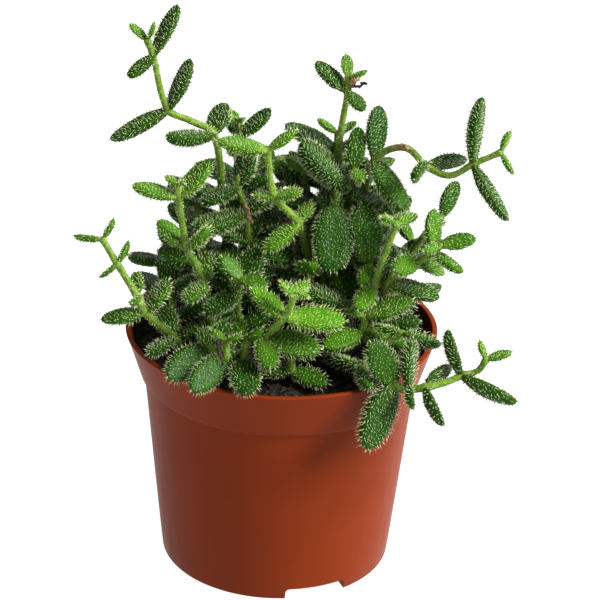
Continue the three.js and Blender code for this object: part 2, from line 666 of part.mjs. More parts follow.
// The side of the stem nearest the last ring's that lines up with a pair of leaves
function facingSide({ along, leaves: [one, other] }, side) {
  const facing = square(sub(one.way, other.way), along);
  const aside = cross(along, facing);
  const ways = [facing, aside, sub([0, 0, 0], facing), sub([0, 0, 0], aside)];
  return ways.reduce((best, way) => (dot(way, side) > dot(best, side) ? way : best));
}

// One skin for a stem and its leaves. The stem is a square tube, closed below and with a bud on top.
function leafyStem(stem, beads, posts) {
  const mesh = { points: [], faces: [] };
  const rings = stemRings(stem).map(({ at, along, share, side, leaves }) => {
    const aside = cross(along, side);
    const radius = STEM_ROOT_RADIUS + (STEM_TIP_RADIUS - STEM_ROOT_RADIUS) * share;
    const loop = STEM_CORNERS.map((angle) => {
      const [c, s] = [Math.cos(radians(angle)), Math.sin(radians(angle))];
      return mesh.points.push(add(add(at, side, c * radius), aside, s * radius)) - 1;
    });
    return { loop, leaves, ways: [side, aside, sub([0, 0, 0], side), sub([0, 0, 0], aside)] };
  });
  for (let k = 0; k + 1 < rings.length; k++) {
    const { loop: low, leaves, ways } = rings[k];
    const high = rings[k + 1].loop;
    const faced = leaves.map((leaf) => {
      const reach = ways.map((way) => dot(way, leaf.way));
      return reach.indexOf(Math.max(...reach));
    });
    for (let i = 0; i < 4; i++) {
      const [a, b, c, d] = [low[i], low[(i + 1) % 4], high[(i + 1) % 4], high[i]];
      if (faced.includes(i)) growLeaf(mesh, leaves[faced.indexOf(i)], [a, b, c, d], beads, posts);
      else mesh.faces.push([a, b, c], [a, c, d]);
    }
  }
  const [a, b, c, d] = rings[0].loop;
  mesh.faces.push([a, c, b], [a, d, c]);
  const end = rings.at(-1).loop;
  const top = centreOf(end.map((p) => mesh.points[p]));
  const bud = mesh.points.push(add(top, stem.joints.at(-1).along, BUD_LENGTH)) - 1;
  end.forEach((p, i) => mesh.faces.push([p, end[(i + 1) % 4], bud]));
  return solidOf(mesh.points, mesh.faces);
}

const potPlastic = new THREE.MeshStandardMaterial({ color: 0x8f3f26, roughness: 0.45, metalness: 0 });
const soilCrumb = new THREE.MeshStandardMaterial({ color: 0x1d1510, roughness: 0.95, metalness: 0 });
const leafGreen = new THREE.MeshStandardMaterial({ color: 0x3c7a1e, roughness: 0.5, metalness: 0 });

const stems = Object.entries(STEMS).map(readStem);
const leaves = stems.flatMap((stem) => stem.leaves);
const posts = stemBeads(stems);
pressApart(leaves, posts);
const beads = leafBeads(leaves);

const plant = new THREE.Group();
plant.add(meshOf(makePot(), "pot", potPlastic));
plant.add(meshOf(makeSoil(stems), "soil", soilCrumb));
for (const stem of stems)
  plant.add(meshOf(leafyStem(stem, beads, posts), "stem_" + stem.name, leafGreen));

export default plant;
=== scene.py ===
# A pickle plant (Delosperma echinatum) in a terracotta-coloured nursery pot: smooth plump leaves with
# rows of pale bristles, hairy stems, crumbly peat and satin plastic. Sizes are in millimetres, with +Z
# up and -Y towards the viewer, and are turned into metres as each mesh is made.
import math

import bpy
import numpy as np
from mathutils import Matrix, Quaternion, Vector


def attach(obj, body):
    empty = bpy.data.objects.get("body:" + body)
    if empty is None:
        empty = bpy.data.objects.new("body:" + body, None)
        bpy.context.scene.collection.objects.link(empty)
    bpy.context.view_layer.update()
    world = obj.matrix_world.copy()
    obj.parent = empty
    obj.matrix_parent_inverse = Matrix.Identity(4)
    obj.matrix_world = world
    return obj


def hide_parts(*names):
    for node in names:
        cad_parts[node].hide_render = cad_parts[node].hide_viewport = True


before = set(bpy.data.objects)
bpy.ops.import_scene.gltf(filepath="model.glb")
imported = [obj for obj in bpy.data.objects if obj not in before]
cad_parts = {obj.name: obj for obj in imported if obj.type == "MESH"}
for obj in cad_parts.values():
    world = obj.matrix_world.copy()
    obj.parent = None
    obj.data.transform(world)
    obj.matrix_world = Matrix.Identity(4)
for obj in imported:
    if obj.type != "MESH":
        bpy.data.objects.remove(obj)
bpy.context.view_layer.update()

MM = 0.001

# The pot, as the solid model has it
POT_HEIGHT = 68
RIM_RADIUS = 42.5
BASE_RADIUS = 31.6
COLLAR_Z = 54
COLLAR_RADIUS = 38.4
COLLAR_STEP = 0.7
BODY_TOP_RADIUS = 37.2
WALL = 1
LIP = 0.6
LIP_DEPTH = 1.1
NOTCH_COUNT = 3
NOTCH_WIDTH = 17.4
NOTCH_HEIGHT = 3.3
NOTCH_INNER_RADIUS = 14
NOTCH_TURN = -68
DRAIN_RADIUS = 3
DRAIN_AT = 22
SOIL_Z = 65
SOIL_LUMP = 0.7
GAP = 0.3
ROOT_Z = 57

# The stems and leaves, as the solid model has them. Widths and depths are shares of a leaf's length or
# half width.
STEM_ROOT_RADIUS = 1.25
STEM_TIP_RADIUS = 0.8
LEAF_HALF_WIDTH = 0.235
LEAF_EXTRA_WIDTH = 0.1
LEAF_TOP = 0.35
LEAF_UNDER = 0.8
LEAF_NECK = 0.4
LEAF_WIDEST = 0.46
LEAF_BLUNT = 1.9
LEAF_POINT = 0.65
LEAF_SPREAD = 62
LEAF_DROOP = 0.08
PRESS_STATIONS = np.array([0.3, 0.52, 0.74, 0.92])
PRESS_CLEAR = 0.5
PRESS_ROUNDS = 150
PRESS_RATE = 0.35
PRESS_RETURN = 0.01
PRESS_NEAR = 32
GIVE_BY_HAND = 0.3
GIVE_BY_RULE = 1
BEAD_SHARE = 0.9
LEAST_SPREAD = 42
LEAST_SPREAD_AT_TIP = 32
STEM_BEAD = 2
ROOT_REACH = 5
ROOT_REACH_BY_HAND = 9
RIM_MIDDLE = 41.6
RIM_ROUND = 1

# Each leafy stem as its joints from the soil up: x, y, z and the pair of leaves there. A leaf given
# one by one is its length, its bearing (0 to the viewer, 90 to the right), its climb in degrees and, if
# it isn't as plump as usual, how plump it is. A pair placed by rule is the leaves' length and the
# pair's turn round the stem in degrees.
STEMS = {
    "tall_left": [
        [-14, 4, 65], [-14.5, 4, 76, 13, 100], [-15.5, 3, 90, 16, 10], [-17, 1, 106, 13, 100],
        [-19.5, -2, 124.5, [16, -50, 16], [13, 171, 23]], [-25.5, -3, 128.5],
        [-31.5, -4, 132, [16.5, -76, -22, 0.85], [15.5, 131, 62, 0.85]],
        [-35.5, -5, 147.5, [10, -36, -14], [15.5, 138, 63, 0.75]],
        [-37, -5, 151.5, [6.5, -110, 46, 0.85], [5.5, 110, 55, 0.85]],
    ],
    "left_front": [
        [-18, -10, 65], [-19, -14, 74, [10, -62, -12], [10, 118, 20]],
        [-21, -14, 87, [11, -20, 3], [11.5, 171, 20]],
        [-25.5, -15, 97.5, [11, -113, 43], [12, 43, 50]],
        [-28, -16, 112.5, [12.5, -95, 20], [13.5, 125, 52]],
        [-28.5, -16, 116, [3.5, -120, 20], [3.5, 80, 15]],
    ],
    "left_low": [
        [-25, -17, 65], [-29, -20, 73.5, [11, -29, 3], [10.5, -161, 35]],
        [-36, -24, 82.5, [11.5, -84, -5], [11, 126, 49]],
        [-38, -24, 87, [7.5, -135, 57], [6.5, -7, 15]],
        [-43.5, -22, 95.5, [7, 135, 56], [5.5, -66, -30]],
        [-47.5, -20, 101.5, [7.5, -90, 10], [6.5, 132, 55]],
    ],
    "bright_middle": [
        [6, -3, 65], [6.5, -4, 76, 13, 110], [7, -4.5, 88, 13, 20],
        [3.5, -6, 101.5, [12, -50, -20], [8, 150, 20]],
        [-3, -9, 110.5, [5.5, -89, 5], [8, 66, 25]],
        [-5, -10, 124, [13.5, -92, 13], [9, 106, 38]],
    ],
    "front_bright": [
        [-5, -22, 65], [-4.5, -28, 78, [12, 5, -4], [15, 80, -8, 1.15]],
        [1, -31, 86, [12, -109, 38], [15.5, 88, 3]],
        [3, -34, 94, [5, -119, 36], [5, 122, 38]],
        [3.3, -34.7, 96, [4, -30, 10], [4, 50, -10]],
    ],
    "right_long": [
        [18, 6, 65], [18.5, 7, 76, 15, 60], [19.5, 6, 89, 16, 150], [20.5, 4, 103, 15, 60],
        [23.5, 2, 117, [15.5, -177, 66, 0.9], [17, 33, -29]],
        [31, -1, 122], [37, -5, 118.5, [12.5, -17, 11, 0.9], [12.5, 120, 2, 0.9]],
        [43, -7, 117], [49, -8, 121, [19, 164, 72, 0.8], [16.5, 57, -46, 0.85]],
        [56, -9, 125, [6.5, 135, 60], [6, 56, -48]],
    ],
    "top": [
        [14, 9, 65], [14.5, 9, 78, 13, 120], [15, 9.5, 92, 13, 30], [14, 8, 106, 12, 120], [14, 6, 121.5],
        [15.5, 4, 135.5, [12, -117, 48], [9, 27, -8]],
        [15.5, 4, 139.5, [6.5, -150, 50], [5.5, 75, 30]],
    ],
    "right": [
        [25, -11, 65], [26.5, -12, 76, 12, 60], [28, -13.5, 88.5, [10.5, -104, 30], [14, 77, -19]],
        [35.5, -16, 96, [11, -37, 12], [10, 125, -26]],
        [39.5, -17, 99.5, [12, -175, 65], [10, 46, -7]],
        [41, -18.5, 102, [9.5, 96, 16], [5, -60, -6]],
    ],
    "right_behind": [
        [27, 2, 65], [29, 1, 77, 13, 20], [33, 0.5, 88, 12, 110], [38, 0, 97],
        [42, 0, 102, [11, 139, 54], [5, -8, 0]],
    ],
    "right_bright": [
        [22, -16, 65], [23, -16, 77], [24, -15, 87.5, [10, -21, -11], [8, 151, 40]],
        [29.5, -13, 105.5, [8, 145, 22], [6, -56, 34]],
    ],
    "right_rim": [
        [26, -24, 65], [28, -28, 70.5], [30, -36.5, 69.5, [15, -90, 61], [17, -41, -50, 1.25]],
        [34, -38, 69.5, [8.5, 5, 0], [14.5, 178, 51]],
        [38, -38.5, 70.5, [10.5, 40, -42, 1.2], [10.5, 125, 20]], [43, -37.5, 71.5],
        [47.5, -36, 73, [13.5, -145, 48], [15.5, 76, -13]], [51.5, -36, 74.5],
        [53.5, -36, 78, [5.5, -150, 50], [7, 100, 20]],
    ],
    "rim_middle": [
        [22, -26, 65], [22, -28, 70.5, [13, -130, 8], [12, 10, -8]], [27, -24, 75],
        [32, -24, 79, [10.5, 80, -8, 1.15], [8, -120, 20]],
    ],
    "rim_right": [
        [17, -16, 65], [21.5, -19, 76.5, [12.5, -53, -10], [15, 92, -16]],
        [22, -20, 81.5, [13.5, 95, 12], [5, -100, 20]],
    ],
    "left_rim": [
        [-17, -22, 65], [-18.5, -25.5, 73, [16, -42, -4], [9, -168, 15]],
        [-14.5, -31, 73, [14.5, -35, -8], [8, 140, 35]], [-14.5, -30.5, 78.5, 5, 60],
    ],
    "rim_left": [
        [-9, -24, 65], [-9.5, -29, 72, [15.5, 3, -8], [13.5, -138, 3]], [-9, -28.5, 77.5, 7, 60],
    ],
    "front_low": [
        [4, -26, 65], [3, -29.5, 69.5, [10.5, 66, -3], [9, -100, -3]], [3, -30, 73.5],
    ],
    "middle": [
        [13, 0, 65], [13.5, 1, 76, 13, 110], [14.5, 2, 88, 14, 20], [16, 2, 99, 13, 110],
        [17.5, 2, 108.5, [21, -111, 40, 1.1], [10.5, 84, -9]],
        [18, 0, 115, [12, 178, 62, 0.85], [6.5, 5, -5]],
    ],
    "middle_behind": [
        [4, 14, 65], [5, 14, 78, 12, 130], [8, 13, 91, 14, 40], [11, 12, 104, 13, 130],
        [13, 11, 116, [15.5, -105, 31], [11, 75, 40]], [13.5, 11, 120.5, [7, -101, 24], [6, 100, 20]],
    ],
    "middle_left": [
        [-4.5, 3, 65], [-5, 3, 76, 11, 100], [-7, 1, 86, 13, 10],
        [-9.5, -1, 93, [13, 94, 8, 1.3], [12, -92, 8]],
        [-10.5, -1, 102, [18, -60, -3], [13, 163, 38]],
        [-13, -1, 109.5, [12.5, -42, -14], [12, 142, 38, 1.2]], [-13, -1, 112],
    ],
    "middle_front": [
        [15, -9, 65], [16, -11, 73], [18.5, -14, 81, [18.5, -101, 24], [6, 65, 5]],
        [23, -8.5, 86.5], [23, -10, 92, [17.5, -172, 65], [7, 22, -26]],
    ],
    "deep_middle": [
        [10.5, -6.5, 65], [11, -6, 75, 11, 45], [11.5, -2, 90, 13, 90],
        [13, -4, 106, [17, -3, -52, 1.25], [13, 180, 30]], [13.5, -4, 110],
    ],
    "left_middle": [
        [-11, -10, 65], [-11.5, -12, 73, 11, 100],
        [-12, -14, 84, [14, 140, 60], [11, -48, -8]], [-11, -17, 90, 8, 60],
    ],
    "left_deep": [
        [-20, 0, 65], [-21, 0, 74, 13, 10], [-22, 0, 86, 13, 100], [-23, 0, 96, 12, 10],
        [-23.5, 1, 103, 8, 100],
    ],
    "left_side": [
        [-28, -4, 65], [-29, -4, 72, 12, 60], [-30.5, -3, 79.5, [12, -165, 32], [12, 60, 40]],
    ],
    "behind_middle": [
        [-1, 11, 65], [0, 11, 77, 12, 30], [2, 10, 91, 12, 120],
        [4.5, 8, 104.5, [13.5, -117, 50], [13, 63, 30]], [5, 8, 110.5, 7, 70],
    ],
    "left_behind": [
        [-11, 11, 65], [-11.5, 11, 77, 16, 60], [-11.5, 9, 91, 16, 150], [-12.5, 8, 106, 12, 60],
        [-13, 7, 120, [12, 111, 43], [9.5, -155, 40]], [-13.5, 7, 125, 4, 30],
    ],
    "back_left": [
        [-22, 10, 65], [-23, 11, 75, 15, 30], [-24, 12, 85, 15, 120], [-25, 14, 96, 13, 30],
        [-26, 15, 103, 8, 120],
    ],
    "back_middle": [
        [-9, 23, 65], [-10, 25, 76, 15, 90], [-12, 28, 87, 15, 0], [-13, 30, 98, 13, 90],
        [-14, 31, 105, 8, 0],
    ],
    "back_centre": [
        [6, 25, 65], [6, 27, 76, 15, 45], [6, 30, 87, 15, 135], [6, 32, 97, 13, 45], [6, 33, 103, 8, 135],
    ],
    "back_right": [
        [19, 19, 65], [20, 20, 76, 13, 10], [21, 21, 88, 15, 100], [21, 22, 99, 13, 10],
        [22, 22, 106, 8, 100],
    ],
    "inner_left": [
        [-4, 8, 65], [-4.5, 8, 78, 11, 80], [-5, 7, 92, 12, 170], [-5, 6, 104, 12, 80],
        [-5.5, 6, 111, 8, 170],
    ],
    "back_inner": [
        [12, 22, 65], [12, 23, 78, 13, 0], [12.5, 24, 90, 14, 90], [13, 25, 102, 12, 0],
        [13, 25, 109, 8, 90],
    ],
    "far_left": [
        [-29, 5, 65], [-31, 6, 74, 12, 60], [-32, 7, 83, 11, 150], [-32.5, 7, 86.5],
    ],
    "right_side": [
        [29, 10, 65], [31, 12, 74, 14, 60], [33, 13, 82, 13, 150], [35, 14, 88, 9, 60],
    ],
}

# How young and bright a whole shoot looks, from 0 to 1, where it differs from the rule
BRIGHT_SHOOTS = {
    "front_bright": 0.95, "bright_middle": 0.8, "left_front": 0.62, "left_low": 0.5,
    "right_bright": 0.75, "right": 0.4, "rim_right": 0.35,
}

# How young the bare stem itself looks, where it differs from the rule. The low values of the stems deep in
# the plant are partly older stem and partly painted shade.
STEM_YOUTHS = {
    "deep_middle": 0.05, "middle": 0.2, "middle_left": 0.3, "middle_front": 0.2, "behind_middle": 0.1,
    "left_behind": 0.15, "left_middle": 0.2, "middle_behind": 0.35, "right_behind": 0.4, "left_front": 0.55,
    "bright_middle": 0.8, "front_bright": 0.95, "right_bright": 0.6,
}

# Fine leaves. Their outline is a share of the length where they are widest, and two powers that make
# the end blunt. Leaves placed by rule are hidden, and fuller than those given one by one.
LEAF_AROUND = 20
LEAF_RINGS = 17
LEAF_START = 0.3
LEAF_END = 0.996
FINE_OUTLINE = (0.47, 2.3, 0.5)
FINE_STEP = 0.02
HIDDEN_FULLER = 1.2
LEAF_GROOVE = 0.55
LEAF_GROOVE_ANGLE = 0.8
PALE_GROOVE_ANGLE = 0.55
LEAF_KEEL = 1.25
LEAF_WAVE = 0.035
WAVES_AROUND = 3
WAVES_ALONG = 9
WAVE_SHIFT_BY_LENGTH = 5
WAVE_SHIFT_BY_WIDTH = 7
GREEN_FROM = 0.02
GREEN_TO = 0.3

# A leaf looks young if it is short and near its stem's tip, or on a bright shoot
YOUNG_BELOW = 11
YOUNG_OVER = 6
YOUNG_MOST = 0.75
YOUTH_FADE = 0.8
BRIGHT_JOINTS = 2
YOUTH_STRAY = 0.05

# Bristles stand in rows round a leaf. How far their roots stray is a share of their spacing.
BRISTLE_SPACING = 0.94
BRISTLE_SPACING_HIDDEN = 1.25
BRISTLES_FROM = 1.4
BRISTLES_TO = 0.99
BRISTLE_SHARES = (0.06, 0.99)
LEAF_GIRTH = 0.8
FEWEST_IN_ROW = 4
ROW_TURN = 0.15
STRAY_AROUND = 0.2
STRAY_ALONG = 0.22
SLIMMEST = 0.5
BRISTLE_LENGTH = 1.5
BRISTLE_UNEVEN = (0.7, 1.15)
UPPER_FACE = 0.5
UPPER_SHORTER = 0.75
TIP_SPREADS = (0.0, 0.45, 0.45)
BRISTLE_ROOT_RADIUS = 0.12
BRISTLE_MIDDLE_RADIUS = 0.058
BRISTLE_MIDDLE = 0.35
BRISTLE_MIDDLE_RISE = 0.45
BRISTLE_SINK = 0.06
BRISTLE_LEAN = 0.55
BRISTLE_STRAY = 0.25
NEARLY_UPRIGHT = 0.9

# How far apart and how long the bristles are on short to long leaves, as shares of the usual
SHORT_TO_LONG = (4, 7, 12, 16)
HAIRS_APART = (0.62, 0.8, 1, 1)
HAIRS_LONG = (0.95, 0.88, 1, 1.08)

# Fine stems and their hairs. At a stem's foot, its rings of points start on the side towards STEM_FACE.
STEM_FACE = (0.0, -1.0, 0.1)
STEM_AROUND = 10
STEM_STEP = 0.9
STEM_SWELL = 0.3
STEM_SWELL_REACH = 1.3
# Stems darken towards the soil, partly as older stem and partly as painted shade; stems whose leaves are
# all hidden get painted shade all along
STEM_YOUTH = 0.7
STEM_YOUTH_HIDDEN = 0.1
STEM_GREENS_FROM = 0.3
STEM_GREENS_OVER = 0.4
HAIR_SPACING = 0.8
HAIR_CROWDING = 1.2
HAIR_LENGTH = 0.65
HAIR_UNEVEN = (0.7, 1.2)
HAIR_LEAN = 0.25
HAIR_STRAY = 0.2
HAIR_THICKNESS = 0.75
HAIRS_ABOVE_SOIL = 1

# Withered bits: dry scales, stubs and shrunken leaves that still hang on the stems. Each one listed is
# the points along it, its half widths there, and its tone from black to tan. They are flat,
# and their flat sides face WITHERED_FACE.
WITHERED = [
    ([(16.2, 3, 137.4), (17.4, 2.6, 139.6), (18.6, 2.5, 140.8)], [0.6, 0.9, 0.3], 1.0),
    ([(16, 3, 137.3), (18.3, 2.2, 137.7), (20.4, 2, 138.7)], [0.5, 0.4, 0.45], 0.0),
    ([(14, 4, 137), (11.6, 4, 137.2), (10, 4, 138.6)], [0.4, 0.8, 0.5], 0.15),
    ([(27.6, -0.9, 121.6), (30.2, -2.2, 122.9), (33, -3.6, 122.2)], [0.3, 0.8, 0.25], 1.0),
    ([(56.6, -9, 124), (57.4, -9.2, 121.6), (59.4, -9.3, 118.8)], [0.5, 0.75, 0.15], 0.3),
    ([(-16.6, -32.5, 79.5), (-15.6, -33.5, 76), (-14.9, -34.6, 72.5)], [0.5, 0.4, 0.2], 0.0),
    ([(-10.8, -3.5, 105.7), (-9.8, -4, 103), (-8.4, -5, 100)], [0.35, 0.75, 0.3], 0.85),
    ([(13.4, 10.5, 119), (14.1, 10.3, 120.6), (14.6, 9.6, 122)], [0.6, 1, 0.5], 0.5),
]
WITHERED_AROUND = 9
WITHERED_STEPS = 18
WITHERED_CREASE = 0.34
WITHERED_SIZES = (0.5, 1.6)
WITHERED_FLAT = 0.5
WITHERED_WANDER = 0.16
WITHERED_END = 0.4
WITHERED_FACE = (0.3, -1.0, 0.2)

# The shrunken leaves hang from the first joint above the soil, on all stems behind the front row
SHRUNKEN_JOINT = 2
SHRUNKEN_BEHIND = -19
SHRUNKEN_WIDTHS = [0.35, 0.85, 0.2]
SHRUNKEN_TONES = (0.0, 0.35)
SHRUNKEN_REACH = (3, 6)
SHRUNKEN_DROP = (2, 7)
SHRUNKEN_BEND = 0.3
SHRUNKEN_END = 1.2
SHRUNKEN_CLEAR = 3

# The fine pot. Its waves are each a height, how many go round the rim, and a shift.
POT_AROUND = 192
FOOT_ROUND = 0.7
FOOT_FLAT_TO = 1.2
BODY_HEIGHTS = (6, 18, 30, 42)
BODY_HEIGHTS_INSIDE = (42, 24, 6)
STEP_BEGINS = 0.4
STEP_EDGE = (0.2, 0.1)
STEP_ROUND = 1
STEP_ROUND_UP = 0.6
LIP_ROUND = 0.32
LIP_IN = 0.1
LIP_SHOULDER = 0.15
LIP_SHOULDER_DOWN = 0.5
FLOOR_CORNER = (1.6, 0.4)
FLOOR_FLAT_TO = 2.4
NOTCH_ROUND = 1.1
NOTCH_BELOW = 1
DRAIN_AROUND = 32
WAVES_OUT = ((0.16, 2, 0.6), (0.1, 5, 0), (0.05, 11, 1))
WAVES_UP = ((0.12, 3, 2), (0.05, 9, 0))
RIM_LOWER = 0.1
SHARP_ANGLE = 32

# The fine soil. Its waves are those of the solid, a little softer. Its bumps are each a height, a size
# and a seed.
SOIL_AROUND = 180
SOIL_RINGS = 64
SLOW_WAVE = (0.42, 0.37)
SLOW_SHIFT = 1
QUICK_WAVE = (0.9, 0.7)
QUICK_SHARE = 0.6
SOIL_SOFTER = 0.8
SOIL_BUMPS = ((0.45, 0.9, 3), (0.25, 0.35, 4))
BUMP_WAVES = 7
BUMP_SIZES = (0.6, 1.7)
BUMPS_LOWER = 4
SOIL_FOOT_IN = 2.5
COLLAR_OVER = 1
SOIL_TOP_FROM = 64.5
CALM_WIDTH = 2
CALM_LEAST = 0.35

# Crumbs of peat, with a few long fibres among them
CRUMBS = 2600
CRUMB_LEAST = 0.22
CRUMB_RANGE = 0.75
CRUMBS_MOSTLY_SMALL = 2.5
CRUMB_LONG = (1, 1.5)
CRUMB_SHARE = 0.9
FIBRE_LONG = 4
CRUMB_UNEVEN = (0.75, 1.2)
CRUMB_FLAT = 0.8
CRUMB_RISE = 0.25
CRUMB_MARGIN = 0.6
FULL_TURN = 6.28

rng = np.random.default_rng(7)


def radians(degrees):
    return degrees * math.pi / 180


def unit(v):
    return v / np.linalg.norm(v, axis=-1, keepdims=True)


def square(v, n):
    """The part of v at right angles to n, as a unit vector."""
    return unit(v - n * np.sum(v * n, axis=-1, keepdims=True))


def turns(count):
    """Angles spread evenly round a ring."""
    return np.arange(count) * 2 * np.pi / count


def ring(side, aside, angles):
    """The ways round each point at the given angles, from its side way towards its aside way."""
    return side[:, None] * np.cos(angles)[..., None] + aside[:, None] * np.sin(angles)[..., None]


# Layout of the stems and leaves
class Joint:
    def __init__(self, at, pair):
        self.at = np.array(at, float)
        self.pair = pair
        self.along = np.array([0.0, 0.0, 1.0])


class Leaf:
    def __init__(self, stem, joint, length, way, give, plump=1):
        self.stem, self.joint, self.length, self.give = stem, joint, length, give
        self.root, self.up = joint.at, joint.along
        self.way = way
        self.width = (length * LEAF_HALF_WIDTH + LEAF_EXTRA_WIDTH) * plump
        self.hidden = give == GIVE_BY_RULE
        self.last = joint is stem.joints[-1]

    def middle(self, share):
        """The middle of the leaf at shares of its length; it droops a little towards its tip."""
        share = np.asarray(share, float)[..., None]
        down = np.array([0.0, 0.0, -1.0])
        return self.root + self.way * self.length * share + down * LEAF_DROOP * self.length * share**2


class Stem:
    def __init__(self, name, rows):
        self.name = name
        x, y = rows[0][:2]
        self.joints = [Joint([x, y, ROOT_Z], [])] + [Joint(row[:3], row[3:]) for row in rows]
        for i, joint in enumerate(self.joints):
            before = self.joints[max(i - 1, 0)].at
            after = self.joints[min(i + 1, len(self.joints) - 1)].at
            if i > 1:
                joint.along = unit(after - before)
        self.leaves = [leaf for joint in self.joints for leaf in self.leaves_at(joint)]

    def leaves_at(self, joint):
        if not joint.pair:
            return []
        if isinstance(joint.pair[0], list):
            return [
                Leaf(self, joint, length, way_of(bearing, climb), GIVE_BY_HAND, *plump)
                for length, bearing, climb, *plump in joint.pair
            ]
        length, turn = joint.pair
        return [
            Leaf(self, joint, length, spread_way(joint.along, angle), GIVE_BY_RULE)
            for angle in (turn, turn + 180)
        ]

    def curve(self, index, share):
        """The point of the smooth curve at a share of the way from one joint to the next."""
        a, b = self.joints[index], self.joints[index + 1]
        chord = np.linalg.norm(b.at - a.at)
        t, t2, t3 = share, share**2, share**3
        point = a.at * (2 * t3 - 3 * t2 + 1) + a.along * (t3 - 2 * t2 + t) * chord
        return point + b.at * (3 * t2 - 2 * t3) + b.along * (t3 - t2) * chord

    def points_from(self, index, step, fewest=1):
        """Points along the curve from one joint up to the next, about a step apart."""
        chord = np.linalg.norm(self.joints[index + 1].at - self.joints[index].at)
        steps = max(fewest, math.ceil(chord / step))
        return [self.curve(index, k / steps) for k in range(steps)]


def way_of(bearing, climb):
    b, c = radians(bearing), radians(climb)
    return np.array([math.sin(b) * math.cos(c), -math.cos(b) * math.cos(c), math.sin(c)])


def spread_way(along, turn):
    """A way that spreads from the stem's own, turned round it from the viewer's side."""
    toward = square(np.array([0.0, -1.0, 0.0]), along)
    aside = np.cross(along, toward)
    out = toward * math.cos(radians(turn)) + aside * math.sin(radians(turn))
    return along * math.cos(radians(LEAF_SPREAD)) + out * math.sin(radians(LEAF_SPREAD))


def leaf_profile(share, widest=LEAF_WIDEST, blunt=LEAF_BLUNT, point=LEAF_POINT):
    """Half a leaf's width at shares of its length, as a share of its widest."""
    share = np.asarray(share, float)
    lower = LEAF_NECK + (1 - LEAF_NECK) * np.sin(np.pi / 2 * np.minimum(share / widest, 1))
    beyond = np.maximum(share - widest, 0) / (1 - widest)
    return np.where(share < widest, lower, np.maximum(0, 1 - beyond**blunt) ** point)


def stem_beads(stems):
    """Balls along every stem, with the stem that each is on."""
    return [
        (at, stem) for stem in stems for i in range(1, len(stem.joints) - 1)
        for at in stem.points_from(i, STEM_BEAD)
    ]


def pot_pushes(at, radius):
    """The pushes that take balls out of the rim, and out of the soil or wall."""
    flat = np.maximum(np.hypot(at[:, 0], at[:, 1]), 1e-9)
    outward = np.stack([at[:, 0] / flat, at[:, 1] / flat, 0 * flat], 1)
    rim = outward * RIM_MIDDLE + np.array([0, 0, POT_HEIGHT - RIM_ROUND])
    from_rim = at - rim
    deep_rim = radius + RIM_ROUND - np.linalg.norm(from_rim, axis=1)
    inside = flat < RIM_MIDDLE
    deep_soil = np.where(inside, SOIL_Z + SOIL_LUMP + radius - at[:, 2], RIM_RADIUS + radius - flat)
    deep_soil = np.where(inside | (at[:, 2] < POT_HEIGHT), deep_soil, 0)
    up_or_out = np.where(inside[:, None], np.array([0.0, 0.0, 1.0]), outward)
    out_of_rim = unit(from_rim) * np.maximum(deep_rim, 0)[:, None]
    return out_of_rim + up_or_out * np.maximum(deep_soil, 0)[:, None]


def pushes(difference, reach):
    """How balls that lie closer than their reach push each other, along their difference."""
    distance = np.linalg.norm(difference, axis=1)
    deep = np.where(distance > 0, reach - distance, 0)
    return difference / np.maximum(distance, 1e-9)[:, None] * np.maximum(deep, 0)[:, None]


def press_apart(leaves, posts):
    """Leaves, as beads, push each other aside and yield to stems, soil and pot."""
    count = len(PRESS_STATIONS)
    owner = np.repeat(np.arange(len(leaves)), count)
    shares = np.tile(PRESS_STATIONS, len(leaves))
    listed = [(leaf.length, leaf.width, leaf.give, leaf.root, leaf.up, leaf.way) for leaf in leaves]
    length, width, give, root, up, way = map(np.array, zip(*listed))
    rest = way.copy()
    least = np.cos(np.radians([LEAST_SPREAD_AT_TIP if leaf.last else LEAST_SPREAD for leaf in leaves]))
    joint = np.unique([id(leaf.joint) for leaf in leaves], return_inverse=True)[1]
    radius = width[owner] * leaf_profile(shares) * BEAD_SHARE
    arm = shares * length[owner]
    droop = np.outer(LEAF_DROOP * length[owner] * shares**2, [0, 0, -1])

    def beads(way):
        return root[owner] + way[owner] * arm[:, None] + droop

    post_at = np.array([at for at, _ in posts])
    start = beads(way)
    apart = np.linalg.norm(start[:, None] - start[None], axis=2)
    one, other = np.nonzero((apart < PRESS_NEAR) & (joint[owner][:, None] != joint[owner][None]))
    to_post = np.linalg.norm(start[:, None] - post_at[None], axis=2)
    from_root = np.linalg.norm(root[owner][:, None] - post_at[None], axis=2)
    own = np.array([[leaf.stem is stem for _, stem in posts] for leaf in leaves])[owner]
    beside = np.where(give[owner] < 1, ROOT_REACH_BY_HAND, ROOT_REACH)[:, None]
    bead, post = np.nonzero((to_post < PRESS_NEAR) & ~(own & (from_root < beside)))

    for _ in range(PRESS_ROUNDS):
        at = beads(way)
        total = np.zeros_like(at)
        np.add.at(total, one, pushes(at[one] - at[other], radius[one] + radius[other] + PRESS_CLEAR))
        reach = radius[bead] + STEM_ROOT_RADIUS + PRESS_CLEAR
        np.add.at(total, bead, pushes(at[bead] - post_at[post], reach))
        total += pot_pushes(at, radius + PRESS_CLEAR)
        turn = np.zeros_like(way)
        np.add.at(turn, owner, total * (PRESS_RATE * give[owner] / arm)[:, None])
        way = unit(way + turn + (rest - way) * PRESS_RETURN)
        upward = np.sum(way * up, axis=1)
        opened = up * least[:, None] + square(way, up) * np.sqrt(1 - least**2)[:, None]
        way = np.where((upward < least)[:, None], way, opened)
    for leaf, found in zip(leaves, way):
        leaf.way = found


# Mesh making
def new_object(name, data):
    made = bpy.data.objects.new(name, data)
    bpy.context.scene.collection.objects.link(made)
    return made


